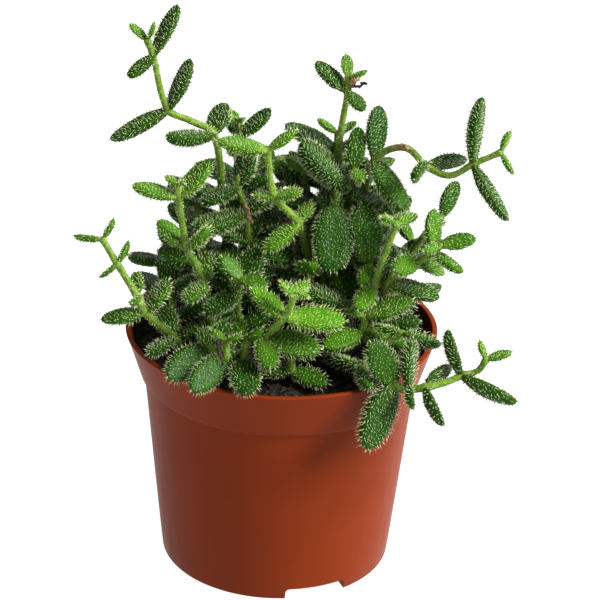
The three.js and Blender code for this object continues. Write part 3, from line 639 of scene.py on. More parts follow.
class Skin:
    """Points and faces that grow piece by piece, with one value a point for each named attribute."""

    def __init__(self, *names):
        self.points, self.faces, self.count = [], [], 0
        self.values = {name: [] for name in names}

    def add(self, points, faces, **values):
        points = np.asarray(points, float).reshape(-1, 3)
        self.points.append(points)
        self.faces.append(np.asarray(faces, int) + self.count)
        self.count += len(points)
        for name, given in values.items():
            self.values[name].append(np.broadcast_to(np.asarray(given, float), (len(points),)))

    def add_tube(self, rings, tip, root=None, **values):
        """Adds rings of points joined into a tube up to a tip. It starts at a root, or flat."""
        count, around = rings.shape[:2]
        first, body = self.count, count * around
        ends = [tip] if root is None else [tip, root]
        self.add(np.concatenate([rings.reshape(-1, 3), ends]), tube_faces(count, around), **values)
        low = np.arange(around)
        self.faces.append(fan_faces(low + body - around, body) + first)
        if root is None:
            self.faces.append(fan_faces(low, 0, outward=False)[1:-1] + first)
        else:
            self.faces.append(fan_faces(low, body + 1, outward=False) + first)

    def object(self, name, material, smooth=True):
        points = np.concatenate(self.points) * MM
        mesh = bpy.data.meshes.new(name)
        mesh.vertices.add(len(points))
        mesh.vertices.foreach_set("co", points.astype(np.float32).ravel())
        corners = np.concatenate([group.ravel() for group in self.faces])
        sizes = np.concatenate([np.full(len(group), group.shape[1]) for group in self.faces])
        mesh.loops.add(len(corners))
        mesh.loops.foreach_set("vertex_index", corners.astype(np.int32))
        mesh.polygons.add(len(sizes))
        mesh.polygons.foreach_set("loop_start", (np.cumsum(sizes) - sizes).astype(np.int32))
        mesh.polygons.foreach_set("use_smooth", np.full(len(sizes), smooth))
        mesh.update(calc_edges=True)
        for key, groups in self.values.items():
            data = mesh.attributes.new(key, "FLOAT", "POINT").data
            data.foreach_set("value", np.concatenate(groups).astype(np.float32))
        mesh.materials.append(material)
        return new_object(name, mesh)


def tube_faces(rings, around):
    """Four-cornered faces between rings of points laid one after another."""
    k, i = np.meshgrid(np.arange(rings - 1), np.arange(around), indexing="ij")
    k, i = k.ravel(), i.ravel()
    j = (i + 1) % around
    return np.stack([k * around + i, k * around + j, (k + 1) * around + j, (k + 1) * around + i], 1)


def fan_faces(points, middle, outward=True):
    """Triangles from a ring of points to one point."""
    following = np.roll(points, -1)
    pair = (points, following) if outward else (following, points)
    return np.stack([*pair, np.full(len(points), middle)], 1)


def read_points(mesh):
    """A mesh's points in millimetres."""
    place = np.zeros(len(mesh.vertices) * 3, np.float32)
    mesh.vertices.foreach_get("co", place)
    return place.reshape(-1, 3) / MM


def write_points(mesh, place):
    mesh.vertices.foreach_set("co", (place * MM).astype(np.float32).ravel())


def add_bristles(skin, roots, normals, bends, lengths, thick=1, **values):
    """Raises a three-sided curved bristle at each root: a wide foot, a slim shaft and a fine tip."""
    count = len(roots)
    upright = np.abs(normals[:, 2:]) >= NEARLY_UPRIGHT
    side = square(np.where(upright, [1.0, 0.0, 0.0], [0.0, 0.0, 1.0]), normals)
    around = ring(side, np.cross(normals, side), rng.uniform(0, 2 * np.pi, count)[:, None] + turns(3))
    length = np.broadcast_to(lengths, count)
    foot = roots - normals * BRISTLE_SINK
    shaft = roots + unit(normals + bends * BRISTLE_MIDDLE) * (length * BRISTLE_MIDDLE)[:, None]
    tip = roots + unit(normals + bends) * length[:, None]
    low = foot[:, None] + around * (BRISTLE_ROOT_RADIUS * thick)
    high = shaft[:, None] + around * (BRISTLE_MIDDLE_RADIUS * thick)
    points = np.concatenate([low, high, tip[:, None]], 1)
    each = points.shape[1]
    quads = np.array([[0, 1, 4, 3], [1, 2, 5, 4], [2, 0, 3, 5]])
    ends = np.array([[3, 4, 6], [4, 5, 6], [5, 3, 6], [0, 2, 1]])
    offset = (np.arange(count) * each)[:, None, None]
    first = skin.count
    rise = np.tile([0, 0, 0, *[BRISTLE_MIDDLE_RISE] * 3, 1.0], count)
    spread = {name: np.repeat(np.broadcast_to(value, count), each) for name, value in values.items()}
    skin.add(points, (quads + offset).reshape(-1, 4), rise=rise, **spread)
    skin.faces.append((ends + offset).reshape(-1, 3) + first)


# Leaves
def leaf_surface(leaf, share, angle):
    """Points of the leaf's skin. Angle 90 degrees is the grooved upper face and 270 the keel below."""
    top = square(leaf.up, leaf.way)
    wide = np.cross(top, leaf.way)
    cos, sin = np.cos(angle), np.sin(angle)
    inside = np.clip(share, 0, 1)
    across = np.exp(-(((angle - np.pi / 2) / LEAF_GROOVE_ANGLE) ** 2))
    channel = across * np.sqrt(np.sin(np.pi * inside))
    upper = LEAF_TOP * (1 - LEAF_GROOVE * channel) * sin
    lower = -LEAF_UNDER * np.abs(sin) ** LEAF_KEEL
    wave = np.sin(angle * WAVES_AROUND + leaf.length * WAVE_SHIFT_BY_LENGTH)
    wave = 1 + LEAF_WAVE * wave * np.sin(share * WAVES_ALONG + leaf.width * WAVE_SHIFT_BY_WIDTH)
    fuller = HIDDEN_FULLER if leaf.hidden else 1
    half = leaf.width * leaf_profile(inside, *FINE_OUTLINE) * wave * fuller
    out = wide * (cos * half)[:, None] + top * (np.where(sin > 0, upper, lower) * half)[:, None]
    return leaf.middle(share) + out


def leaf_points(leaf, share, angle):
    """Points of the leaf's skin, with the outward way there."""
    step = FINE_STEP
    along = leaf_surface(leaf, np.minimum(share + step, 1), angle) - leaf_surface(leaf, share - step, angle)
    around = leaf_surface(leaf, share, angle + step) - leaf_surface(leaf, share, angle - step)
    return leaf_surface(leaf, share, angle), unit(np.cross(around, along))


def leaf_youth(leaf):
    """How young a leaf looks: short leaves near a stem's tip are bright, and some shoots are all bright."""
    from_tip = len(leaf.stem.joints) - 1 - leaf.stem.joints.index(leaf.joint)
    short = np.clip((YOUNG_BELOW - leaf.length) / YOUNG_OVER, 0, 1)
    young = YOUNG_MOST * short * math.exp(-from_tip * YOUTH_FADE)
    shoot = BRIGHT_SHOOTS.get(leaf.stem.name, 0)
    return max(young, shoot * math.exp(-max(from_tip - BRIGHT_JOINTS, 0)))


def bristle_places(leaf):
    """Where the leaf's bristles stand: shares of its length, and angles round it."""
    spacing = BRISTLE_SPACING_HIDDEN if leaf.hidden else BRISTLE_SPACING
    spacing *= np.interp(leaf.length, SHORT_TO_LONG, HAIRS_APART)
    shares, angles = [], []
    for k, row in enumerate(np.arange(BRISTLES_FROM, leaf.length * BRISTLES_TO, spacing)):
        half = leaf.width * leaf_profile(row / leaf.length, *FINE_OUTLINE)
        around = max(FEWEST_IN_ROW, round(2 * np.pi * half * LEAF_GIRTH / spacing))
        turn = 0.5 * (k % 2) + rng.uniform(-ROW_TURN, ROW_TURN)
        angle = (np.arange(around) + turn) * 2 * np.pi / around
        angles.append(angle + rng.normal(0, STRAY_AROUND, around) * spacing / max(half, SLIMMEST))
        shares.append(row / leaf.length + rng.normal(0, STRAY_ALONG, around) * spacing / leaf.length)
    return np.clip(np.concatenate(shares), *BRISTLE_SHARES), np.concatenate(angles) % (2 * np.pi)


def add_leaf(skin, bristles, leaf):
    youth = leaf_youth(leaf) + rng.uniform(-YOUTH_STRAY, YOUTH_STRAY)
    tone = rng.uniform(0, 1)
    share = (1 - np.cos(np.linspace(LEAF_START, np.pi, LEAF_RINGS))) / 2
    shares = np.repeat(np.minimum(share, LEAF_END), LEAF_AROUND)
    angles = np.tile(turns(LEAF_AROUND), LEAF_RINGS)
    rings = leaf_surface(leaf, shares, angles).reshape(LEAF_RINGS, LEAF_AROUND, 3)
    green = np.clip((shares - GREEN_FROM) / (GREEN_TO - GREEN_FROM), 0, 1)
    groove = np.exp(-(((angles - np.pi / 2) / PALE_GROOVE_ANGLE) ** 2)) * (1 - shares**3)
    skin.add_tube(
        rings, leaf.middle(1.0),
        green=np.append(green, 1), groove=np.append(groove, 0), youth=youth, tone=tone,
    )
    share, angle = bristle_places(leaf)
    roots, normals = leaf_points(leaf, share, angle)
    bends = leaf.way * BRISTLE_LEAN + rng.normal(0, BRISTLE_STRAY, roots.shape)
    size = np.interp(leaf.length, SHORT_TO_LONG, HAIRS_LONG)
    length = BRISTLE_LENGTH * size * rng.uniform(*BRISTLE_UNEVEN, len(roots))
    length *= np.where(np.sin(angle) > UPPER_FACE, UPPER_SHORTER, 1)
    add_bristles(bristles, roots, normals, bends, length, youth=youth)
    ways = np.array([leaf.way + square(rng.normal(0, 1, 3), leaf.way) * k for k in TIP_SPREADS])
    roots = np.repeat(leaf.middle(BRISTLES_TO)[None], len(ways), 0)
    add_bristles(bristles, roots, unit(ways), 0 * ways, BRISTLE_LENGTH, youth=youth)


# Stems
def stem_path(stem):
    """Points along a stem, the ways there and the distance to the nearest joint that has leaves."""
    points = [at for i in range(len(stem.joints) - 1) for at in stem.points_from(i, STEM_STEP, fewest=2)]
    points = np.array([*points, stem.joints[-1].at])
    ways = unit(np.gradient(points, axis=0))
    leafy = [joint.at for joint in stem.joints if joint.pair]
    return points, ways, np.min([np.linalg.norm(points - at, axis=1) for at in leafy], axis=0)


def add_stem(skin, bristles, stem):
    points, ways, to_joint = stem_path(stem)
    run = np.linspace(0, 1, len(points))
    radius = STEM_ROOT_RADIUS + (STEM_TIP_RADIUS - STEM_ROOT_RADIUS) * run
    radius = radius * (1 + STEM_SWELL * np.exp(-((to_joint / STEM_SWELL_REACH) ** 2)))
    side = [square(np.array(STEM_FACE), ways[0])]
    for way in ways[1:]:
        side.append(square(side[-1], way))
    side = np.array(side)
    aside = np.cross(ways, side)
    rings = points[:, None] + ring(side, aside, turns(STEM_AROUND)) * radius[:, None, None]
    # Painted shade: hidden and inner stems are given a low youth, and each stem darkens towards its foot,
    # partly as older stem; its hairs follow
    by_rule = STEM_YOUTH_HIDDEN if all(leaf.hidden for leaf in stem.leaves) else STEM_YOUTH
    greening = np.clip((run - STEM_GREENS_FROM) / STEM_GREENS_OVER, 0, 1)
    youth = STEM_YOUTHS.get(stem.name, by_rule) * greening
    skin.add_tube(
        rings, stem.joints[-1].at + ways[-1] * STEM_TIP_RADIUS, green=0, groove=0,
        youth=np.append(np.repeat(youth, STEM_AROUND), youth[-1]), tone=rng.uniform(0, 1),
    )

    long = np.sum(np.linalg.norm(np.diff(points, axis=0), axis=1))
    rows = int(long / HAIR_SPACING)
    around = max(3, round(2 * np.pi * STEM_TIP_RADIUS * HAIR_CROWDING / HAIR_SPACING))
    place = (np.arange(rows * around) // around + rng.uniform(0, 1, rows * around)) / rows
    turn = rng.uniform(0, 2 * np.pi, rows * around)
    at = place * (len(points) - 1)
    low = np.minimum(at.astype(int), len(points) - 2)
    part = (at - low)[:, None]

    def between(values):
        return values[low] * (1 - part) + values[low + 1] * part

    normal = unit(between(side) * np.cos(turn)[:, None] + between(aside) * np.sin(turn)[:, None])
    roots = between(points) + normal * between(radius[:, None])
    above = roots[:, 2] > SOIL_Z + HAIRS_ABOVE_SOIL
    hair_youth = between(youth[:, None])[above, 0]
    roots, normal, way = roots[above], normal[above], unit(between(ways))[above]
    bends = way * HAIR_LEAN + rng.normal(0, HAIR_STRAY, roots.shape)
    length = HAIR_LENGTH * rng.uniform(*HAIR_UNEVEN, len(roots))
    add_bristles(bristles, roots, normal, bends, length, HAIR_THICKNESS, youth=hair_youth)


# Withered bits
def add_withered(skin, route, widths, tone):
    """A dry, creased strand along a few points."""
    route = np.array(route, float)
    places = np.linspace(0, len(route) - 1, WITHERED_STEPS)
    points = np.stack([np.interp(places, np.arange(len(route)), route[:, k]) for k in range(3)], 1)
    points += rng.normal(0, WITHERED_WANDER, points.shape)
    half = np.interp(places, np.arange(len(widths)), widths)
    way = unit(np.gradient(points, axis=0))
    side = square(np.array(WITHERED_FACE), way)
    crease = 1 + WITHERED_CREASE * rng.normal(0, 1, (1, WITHERED_AROUND)) * np.ones((WITHERED_STEPS, 1))
    crease += WITHERED_CREASE / 2 * rng.normal(0, 1, (WITHERED_STEPS, WITHERED_AROUND))
    size = half[:, None] * np.clip(crease, *WITHERED_SIZES)
    around = ring(side * WITHERED_FLAT, np.cross(way, side), turns(WITHERED_AROUND))
    tip = points[-1] + way[-1] * half[-1] * WITHERED_END
    root = points[0] - way[0] * half[0] * WITHERED_END
    skin.add_tube(points[:, None] + around * size[..., None], tip, root, tone=tone)


def make_withered(material, stems):
    """The listed bits, and a shrunken leaf low on each stem behind the front row."""
    skin = Skin("tone")
    for route, widths, tone in WITHERED:
        add_withered(skin, route, widths, tone)
    for stem in stems:
        low = stem.joints[SHRUNKEN_JOINT].at
        if low[1] < SHRUNKEN_BEHIND:
            continue
        turn = rng.uniform(0, 2 * np.pi)
        out = np.array([math.cos(turn), math.sin(turn), 0.0])
        reach = rng.uniform(*SHRUNKEN_REACH)
        drop = min(rng.uniform(*SHRUNKEN_DROP), low[2] - SOIL_Z - SHRUNKEN_CLEAR)
        bend = low + out * reach - [0, 0, drop * SHRUNKEN_BEND]
        end = low + out * reach * SHRUNKEN_END - [0, 0, drop]
        add_withered(skin, [low + out, bend, end], SHRUNKEN_WIDTHS, rng.uniform(*SHRUNKEN_TONES))
    return skin.object("withered_bits", material)


# The pot and the soil
def body_radius(z):
    return BASE_RADIUS + (BODY_TOP_RADIUS - BASE_RADIUS) * z / COLLAR_Z


def arc(centre, radius, start, end, steps=5):
    """Points of an arc round a centre, from one angle to another in degrees."""
    angles = np.radians(np.linspace(start, end, steps))
    return [(centre[0] + radius * math.cos(a), centre[1] + radius * math.sin(a)) for a in angles]


def pot_profile():
    """The wall's outline from the middle of the floor's underside round the lip to the floor's top."""
    shoulder = RIM_RADIUS - LIP
    inner_rim = shoulder - WALL
    step_top = COLLAR_Z + COLLAR_STEP
    lip_foot = POT_HEIGHT - LIP_DEPTH
    return [
        (0, 0), (BASE_RADIUS - FOOT_FLAT_TO, 0),
        *arc((BASE_RADIUS - FOOT_ROUND, FOOT_ROUND), FOOT_ROUND, -90, -10),
        *[(body_radius(z), z) for z in (*BODY_HEIGHTS, COLLAR_Z - STEP_BEGINS)],
        (BODY_TOP_RADIUS + STEP_EDGE[0], COLLAR_Z - STEP_EDGE[1]),
        *arc((COLLAR_RADIUS - STEP_ROUND, step_top + STEP_ROUND_UP), STEP_ROUND, -60, -10),
        ((COLLAR_RADIUS + shoulder) / 2, (step_top + lip_foot) / 2),
        (shoulder, lip_foot - LIP_SHOULDER_DOWN), (shoulder + LIP_SHOULDER, lip_foot),
        *arc((RIM_RADIUS - LIP_IN - LIP_ROUND, POT_HEIGHT - LIP_ROUND), LIP_ROUND, -20, 90, 6),
        *arc((inner_rim + LIP_ROUND, POT_HEIGHT - LIP_ROUND), LIP_ROUND, 90, 180),
        (COLLAR_RADIUS - WALL, step_top), (BODY_TOP_RADIUS - WALL, COLLAR_Z),
        *[(body_radius(z) - WALL, z) for z in BODY_HEIGHTS_INSIDE],
        (BASE_RADIUS - FLOOR_CORNER[0], WALL + FLOOR_CORNER[1]), (BASE_RADIUS - FLOOR_FLAT_TO, WALL),
        (0, WALL),
    ]


def lathe(name, profile, around, material=None):
    """A closed solid turned from a profile that starts and ends on the axis."""
    radius, height = np.array(profile[1:-1]).T[..., None]
    angle = turns(around)
    rings = np.stack([radius * np.cos(angle), radius * np.sin(angle), height + 0 * angle], 2)
    skin = Skin()
    skin.add_tube(rings, tip=(0, 0, profile[-1][1]), root=(0, 0, profile[0][1]))
    return skin.object(name, material)


def plug(name, low, high, around):
    """A round block from the floor's underside to well above the channels, for carving."""
    top = 2 * NOTCH_HEIGHT
    return lathe(name, [(0, 0), (low, 0), (high, top), (0, top)], around)


def bar(name, section, start, end, turn):
    """A straight bar of one section, given as y and z points, turned about the pot's axis."""
    c, s = math.cos(radians(turn)), math.sin(radians(turn))
    points = [(x * c - y * s, x * s + y * c, z) for x in (start, end) for y, z in section]
    side = np.arange(len(section))[None]
    skin = Skin()
    skin.add(points, tube_faces(2, len(section)))
    skin.faces += [side[:, ::-1], side + len(section)]
    return skin.object(name, None, smooth=False)


def carve(piece, tool, operation):
    """Joins a tool to a piece, cuts it away, or keeps what both share."""
    cut = piece.modifiers.new(operation, "BOOLEAN")
    cut.operation, cut.object, cut.solver = operation, tool, "EXACT"
    bpy.context.view_layer.update()
    done = bpy.data.meshes.new_from_object(piece.evaluated_get(bpy.context.evaluated_depsgraph_get()))
    piece.modifiers.clear()
    piece.data = done


def carve_notch(pot, turn):
    """Adds the roof of one drainage channel, and cuts the channel and its drain hole."""
    half, outer = NOTCH_WIDTH / 2, NOTCH_WIDTH / 2 + WALL
    roof_low, roof_high = WALL / 2, NOTCH_HEIGHT + WALL
    roof_section = [(-outer, roof_low), (outer, roof_low), (outer, roof_high), (-outer, roof_high)]
    roof = bar("roof", roof_section, NOTCH_INNER_RADIUS - WALL, RIM_RADIUS, turn)
    middle_low, middle_high = body_radius(0) - WALL / 2, body_radius(2 * NOTCH_HEIGHT) - WALL / 2
    hollow = plug("hollow", middle_low, middle_high, POT_AROUND)
    carve(roof, hollow, "INTERSECT")
    low, high = half - NOTCH_ROUND, NOTCH_HEIGHT - NOTCH_ROUND
    channel_section = [
        (-half, -NOTCH_BELOW), (half, -NOTCH_BELOW),
        *arc((low, high), NOTCH_ROUND, 0, 90), *arc((-low, high), NOTCH_ROUND, 90, 180),
    ]
    channel = bar("channel", channel_section, NOTCH_INNER_RADIUS, RIM_RADIUS, turn)
    drain = plug("drain", DRAIN_RADIUS, DRAIN_RADIUS, DRAIN_AROUND)
    x, y = DRAIN_AT * math.cos(radians(turn)), DRAIN_AT * math.sin(radians(turn))
    drain.data.transform(Matrix.Translation((x * MM, y * MM, 0)))
    carve(pot, roof, "UNION")
    carve(pot, channel, "DIFFERENCE")
    carve(pot, drain, "DIFFERENCE")
    for tool in (roof, hollow, channel, drain):
        bpy.data.objects.remove(tool)


def waves(table, turn):
    """The sum of a table's waves at angles round the pot."""
    return sum(height * np.sin(count * turn + shift) for height, count, shift in table)


def make_pot(material):
    pot = lathe("pot_moulded", pot_profile(), POT_AROUND, material)
    for i in range(NOTCH_COUNT):
        carve_notch(pot, NOTCH_TURN + 360 / NOTCH_COUNT * i)
    mesh = pot.data
    mesh.materials.clear()
    mesh.materials.append(material)
    place = read_points(mesh)
    turn = np.arctan2(place[:, 1], place[:, 0])
    flat = np.hypot(place[:, 0], place[:, 1])
    high = np.clip((place[:, 2] - COLLAR_Z) / (POT_HEIGHT - COLLAR_Z), 0, 1) ** 2
    place[:, :2] *= (1 + high * waves(WAVES_OUT, turn) / np.maximum(flat, 1))[:, None]
    place[:, 2] += high * (waves(WAVES_UP, turn) - RIM_LOWER)
    write_points(mesh, place)
    mesh.polygons.foreach_set("use_smooth", np.full(len(mesh.polygons), True))
    mesh.set_sharp_from_angle(angle=radians(SHARP_ANGLE))
    mesh.update()
    return pot


def bumps(x, y, size, seed):
    """Smooth uneven heights, mostly from -1 to 1, made of crossed waves."""
    local = np.random.default_rng(seed)
    total = np.zeros_like(x)
    for _ in range(BUMP_WAVES):
        turn, shift = local.uniform(0, 2 * np.pi, 2)
        pitch = size * local.uniform(*BUMP_SIZES)
        total += np.sin((x * math.cos(turn) + y * math.sin(turn)) / pitch + shift)
    return total / BUMPS_LOWER


def soil_height(x, y):
    slow = np.sin(x * SLOW_WAVE[0] + SLOW_SHIFT) * np.cos(y * SLOW_WAVE[1])
    quick = np.sin(x * QUICK_WAVE[0] - y * QUICK_WAVE[1])
    lump = SOIL_LUMP * (slow + QUICK_SHARE * quick) * SOIL_SOFTER
    return SOIL_Z + lump + sum(height * bumps(x, y, size, seed) for height, size, seed in SOIL_BUMPS)


def make_soil(material):
    """The soil's piece, and how far it reaches from the pot's axis at the top."""
    edge_low = COLLAR_RADIUS - WALL - GAP
    step_top = COLLAR_Z + COLLAR_STEP
    share = (SOIL_Z - step_top) / (POT_HEIGHT + COLLAR_OVER - step_top)
    edge = edge_low + (RIM_RADIUS - LIP - WALL - GAP - edge_low) * share
    floor = WALL + GAP + NOTCH_HEIGHT
    profile = [
        (0, floor), (BASE_RADIUS - WALL - SOIL_FOOT_IN, floor),
        (BODY_TOP_RADIUS - WALL - GAP, COLLAR_Z), (edge_low, step_top + GAP),
        *[(edge * (1 - k / SOIL_RINGS), SOIL_Z) for k in range(SOIL_RINGS)], (0, SOIL_Z),
    ]
    soil = lathe("soil_peat", profile, SOIL_AROUND, material)
    place = read_points(soil.data)
    x, y, z = place.T
    calm = np.clip((edge - np.hypot(x, y)) / CALM_WIDTH, CALM_LEAST, 1)
    place[:, 2] = np.where(z > SOIL_TOP_FROM, SOIL_Z + (soil_height(x, y) - SOIL_Z) * calm, z)
    write_points(soil.data, place)
    soil.data.update()
    return soil, edge


def icosahedron():
    """The corners, all one from the middle, and the sides of a regular solid with twenty sides."""
    golden = (1 + math.sqrt(5)) / 2
    signs = [(a, b) for b in (1, -1) for a in (1, -1)]
    corners = [(0, a, b * golden) for a, b in signs]
    corners += [(a, b * golden, 0) for a, b in signs]
    corners += [(a * golden, 0, b) for a, b in signs]
    sides = [
        (0, 1, 8), (0, 8, 4), (0, 4, 5), (0, 5, 9), (0, 9, 1), (1, 6, 8), (8, 6, 10), (8, 10, 4),
        (4, 10, 2), (4, 2, 5), (5, 2, 11), (5, 11, 9), (9, 11, 7), (9, 7, 1), (1, 7, 6), (3, 10, 6),
        (3, 2, 10), (3, 11, 2), (3, 7, 11), (3, 6, 7),
    ]
    return unit(np.array(corners, float)), np.array(sides)


def make_crumbs(material, edge):
    """Loose crumbs of peat and short fibres strewn over the soil."""
    corners, sides = icosahedron()
    skin = Skin("tone")
    for _ in range(CRUMBS):
        flat = (edge - CRUMB_MARGIN) * math.sqrt(rng.uniform(0, 1))
        turn = rng.uniform(0, 2 * np.pi)
        x, y = flat * math.cos(turn), flat * math.sin(turn)
        size = CRUMB_LEAST + CRUMB_RANGE * rng.uniform(0, 1) ** CRUMBS_MOSTLY_SMALL
        fibre = rng.uniform() >= CRUMB_SHARE
        long = FIBRE_LONG if fibre else rng.uniform(*CRUMB_LONG)
        slim = 1 / math.sqrt(long)
        axis = (0, 0, 1) if fibre else unit(rng.normal(0, 1, 3))
        spin = Quaternion(axis, rng.uniform(0, FULL_TURN)).to_matrix()
        uneven = rng.uniform(*CRUMB_UNEVEN, (len(corners), 1))
        shape = corners * uneven * size * np.array([long, slim, slim * CRUMB_FLAT])
        centre = [x, y, soil_height(x, y) + size * CRUMB_RISE]
        skin.add(shape @ np.array(spin).T + centre, sides, tone=rng.uniform(0, 1))
    return skin.object("soil_crumbs", material, smooth=False)


# Materials
class Nodes:
    """A material's node tree, with short ways to add and join nodes."""

    def __init__(self, name):
        self.material = bpy.data.materials.new(name)
        self.material.use_nodes = True
        self.tree = self.material.node_tree
        self.shader = self.tree.nodes["Principled BSDF"]
        self.place = self.add("TexCoord", "Object")

    def fill(self, node, values):
        """Sets a node's inputs, or joins sockets to them, with _ for each space in their names."""
        for key, value in values.items():
            target = node.inputs[key.replace("_", " ")]
            if isinstance(value, bpy.types.NodeSocket):
                self.tree.links.new(value, target)
            else:
                target.default_value = value

    def add(self, kind, output, **values):
        """Adds a node with these inputs, and gives one of its outputs."""
        node = self.tree.nodes.new("ShaderNode" + kind)
        self.fill(node, values)
        return node.outputs[output]

    def set(self, **values):
        self.fill(self.shader, values)

    def attribute(self, name):
        node = self.tree.nodes.new("ShaderNodeAttribute")
        node.attribute_name = name
        return node.outputs["Fac"]

    def noise(self, scale, detail=3, rough=0.55, place=None):
        place = place or self.place
        return self.add("TexNoise", "Fac", Vector=place, Scale=scale, Detail=detail, Roughness=rough)

    def cells(self, scale):
        """How far each place is from the middle of its cell, for cells about 1 / scale metres across."""
        return self.add("TexVoronoi", "Distance", Vector=self.place, Scale=scale)

    def stretched(self, sizes):
        return self.add("Mapping", "Vector", Vector=self.place, Scale=sizes)

    def span(self, value, low, high, start=0, end=1):
        ends = {"From Min": low, "From Max": high, "To Min": start, "To Max": end}
        return self.add("MapRange", "Result", Value=value, **ends)

    def mix(self, share, first, second):
        """A blend of two colours, each a socket or an (r, g, b)."""
        node = self.tree.nodes.new("ShaderNodeMix")
        node.data_type = "RGBA"
        for value, target in ((share, node.inputs[0]), (first, node.inputs[6]), (second, node.inputs[7])):
            if isinstance(value, bpy.types.NodeSocket):
                self.tree.links.new(value, target)
            else:
                target.default_value = (*value, 1)
        return node.outputs[2]

    def bump(self, height, strength, distance):
        self.set(Normal=self.add("Bump", "Normal", Height=height, Strength=strength, Distance=distance))


# Linear colours in pairs: from dark to light for the leaves, plastic, crumbs and withered bits, and
# from mature to young for the others
LEAF_MATURE = (0.008, 0.041, 0.0007), (0.024, 0.082, 0.0014)
LEAF_YOUNG = (0.056, 0.160, 0.0018), (0.078, 0.205, 0.0033)
STALK = (0.045, 0.075, 0.008), (0.225, 0.325, 0.05)
GROOVE = (0.022, 0.082, 0.003), (0.12, 0.28, 0.009)
# Dark green for the random blotches, and painted shade in the hollows between the cells
SEAMS = (0.004, 0.024, 0.001), (0.035, 0.13, 0.003)
BRISTLE_FOOT = (0.02, 0.07, 0.003), (0.13, 0.28, 0.015)
BRISTLE_TIP = (0.68, 0.78, 0.40), (0.74, 0.88, 0.35)
PLASTIC = (0.132, 0.0168, 0.0020), (0.150, 0.0195, 0.0026)
CRUMB = (0.035, 0.021, 0.011), (0.135, 0.08, 0.04)
WITHERED_DARK = (0.006, 0.004, 0.003), (0.11, 0.06, 0.022)
WITHERED_PALE = (0.03, 0.02, 0.012), (0.34, 0.22, 0.10)

# Single linear colours, and how far each colour of light spreads under a leaf's skin
PLASTIC_STREAK = (0.165, 0.022, 0.0035)
PEAT = (0.022, 0.015, 0.010)
SOIL_SHADE = (0.004, 0.003, 0.002)
SKIN_RADII = (0.5, 1.0, 0.2)


def leaf_material():
    made = Nodes("leaf_skin")
    young, green, tone = made.attribute("youth"), made.attribute("green"), made.attribute("tone")
    leaf = made.mix(young, made.mix(tone, *LEAF_MATURE), made.mix(tone, *LEAF_YOUNG))
    skin = made.mix(green, made.mix(young, *STALK), leaf)
    groove = made.span(made.attribute("groove"), low=0, high=1, end=0.5)
    grooved = made.mix(groove, skin, made.mix(young, *GROOVE))
    dark = made.mix(young, *SEAMS)
    blotch = made.span(made.noise(scale=420, detail=4), low=0.42, high=0.7, end=0.6)
    mottled = made.mix(blotch, grooved, dark)
    # The skin darkens towards the edge of each cell, where the bump sinks: painted shade in the hollows
    # between the cell domes
    cells = made.cells(scale=1300)
    made.set(
        Base_Color=made.mix(made.span(cells, low=0.25, high=0.75, end=0.55), mottled, dark),
        Roughness=made.span(made.noise(scale=900), low=0.3, high=0.7, start=0.28, end=0.5),
        Specular_IOR_Level=0.09, Subsurface_Weight=0.08, Subsurface_Scale=0.0012,
        Subsurface_Radius=SKIN_RADII,
    )
    made.bump(made.span(cells, low=0, high=0.8, start=1, end=0), strength=0.6, distance=0.00022)
    return made.material


def bristle_material():
    made = Nodes("bristle")
    young, rise = made.attribute("youth"), made.span(made.attribute("rise"), low=0.1, high=0.6)
    colour = made.mix(rise, made.mix(young, *BRISTLE_FOOT), made.mix(young, *BRISTLE_TIP))
    made.set(Base_Color=colour, Roughness=0.4, Specular_IOR_Level=0.3)
    return made.material


def pot_material():
    made = Nodes("pot_plastic")
    cloud = made.span(made.noise(scale=28), low=0.35, high=0.65)
    upright = made.stretched((160, 160, 14))
    streak = made.span(made.noise(scale=1, detail=4, rough=0.6, place=upright), low=0.35, high=0.7)
    streak = made.span(streak, low=0, high=1, end=0.2)
    fine = made.stretched((500, 500, 90))
    scuff = made.noise(scale=1, detail=5, rough=0.65, place=fine)
    made.set(
        Base_Color=made.mix(streak, made.mix(cloud, *PLASTIC), PLASTIC_STREAK),
        Roughness=made.span(scuff, low=0.45, high=0.75, start=0.40, end=0.52),
        Specular_IOR_Level=0.05, Subsurface_Weight=0.03, Subsurface_Scale=0.001,
    )
    made.bump(made.noise(scale=1500), strength=0.12, distance=0.00008)
    return made.material


def soil_material(name, light, lightest):
    made = Nodes(name)
    grain = made.span(made.noise(scale=900, detail=5, rough=0.7), low=0.45, high=0.75)
    colour = made.mix(grain, SOIL_SHADE, made.mix(made.attribute("tone"), light, lightest))
    made.set(Base_Color=colour, Roughness=0.9, Specular_IOR_Level=0.2)
    made.bump(made.noise(scale=1600, detail=5, rough=0.7), strength=0.9, distance=0.0004)
    return made.material


def withered_material():
    made = Nodes("withered")
    fibres = made.stretched((900, 900, 350))
    grain = made.span(made.noise(scale=1, detail=4, rough=0.6, place=fibres), low=0.35, high=0.65)
    tone = made.attribute("tone")
    colour = made.mix(grain, made.mix(tone, *WITHERED_DARK), made.mix(tone, *WITHERED_PALE))
    made.set(Base_Color=colour, Roughness=0.75, Specular_IOR_Level=0.3)
    made.bump(grain, strength=0.6, distance=0.0003)
    return made.material


# Camera, light and floor. The camera's two places are in millimetres, and the rest is in metres. Each
# round light is its place, its size and its power.
CAMERA_AT = (0, -712, 426)
CAMERA_AIM = (4.8, 0, 75.7)
CAMERA_ROLL = 2.0
CAMERA_LENS = 175.56
CAMERA_SENSOR = 36
CAMERA_CLIP = (0.01, 20)
WORLD_LIGHT = 0.27
FLOOR_GLOW = 0.95
FLOOR_GREY = 0.2
FLOOR_HALF = 6
WHITE = (1, 1, 1, 1)
LIGHTS_AIM = (0, 0, 0.08)
LIGHTS = {
    "key": ((1.02, -0.40, 0.95), 0.75, 60),
    "fill": ((-1.1, -0.7, 0.7), 0.6, 3.5),
    "back": ((0.2, 1.0, 1.1), 0.6, 6),
}


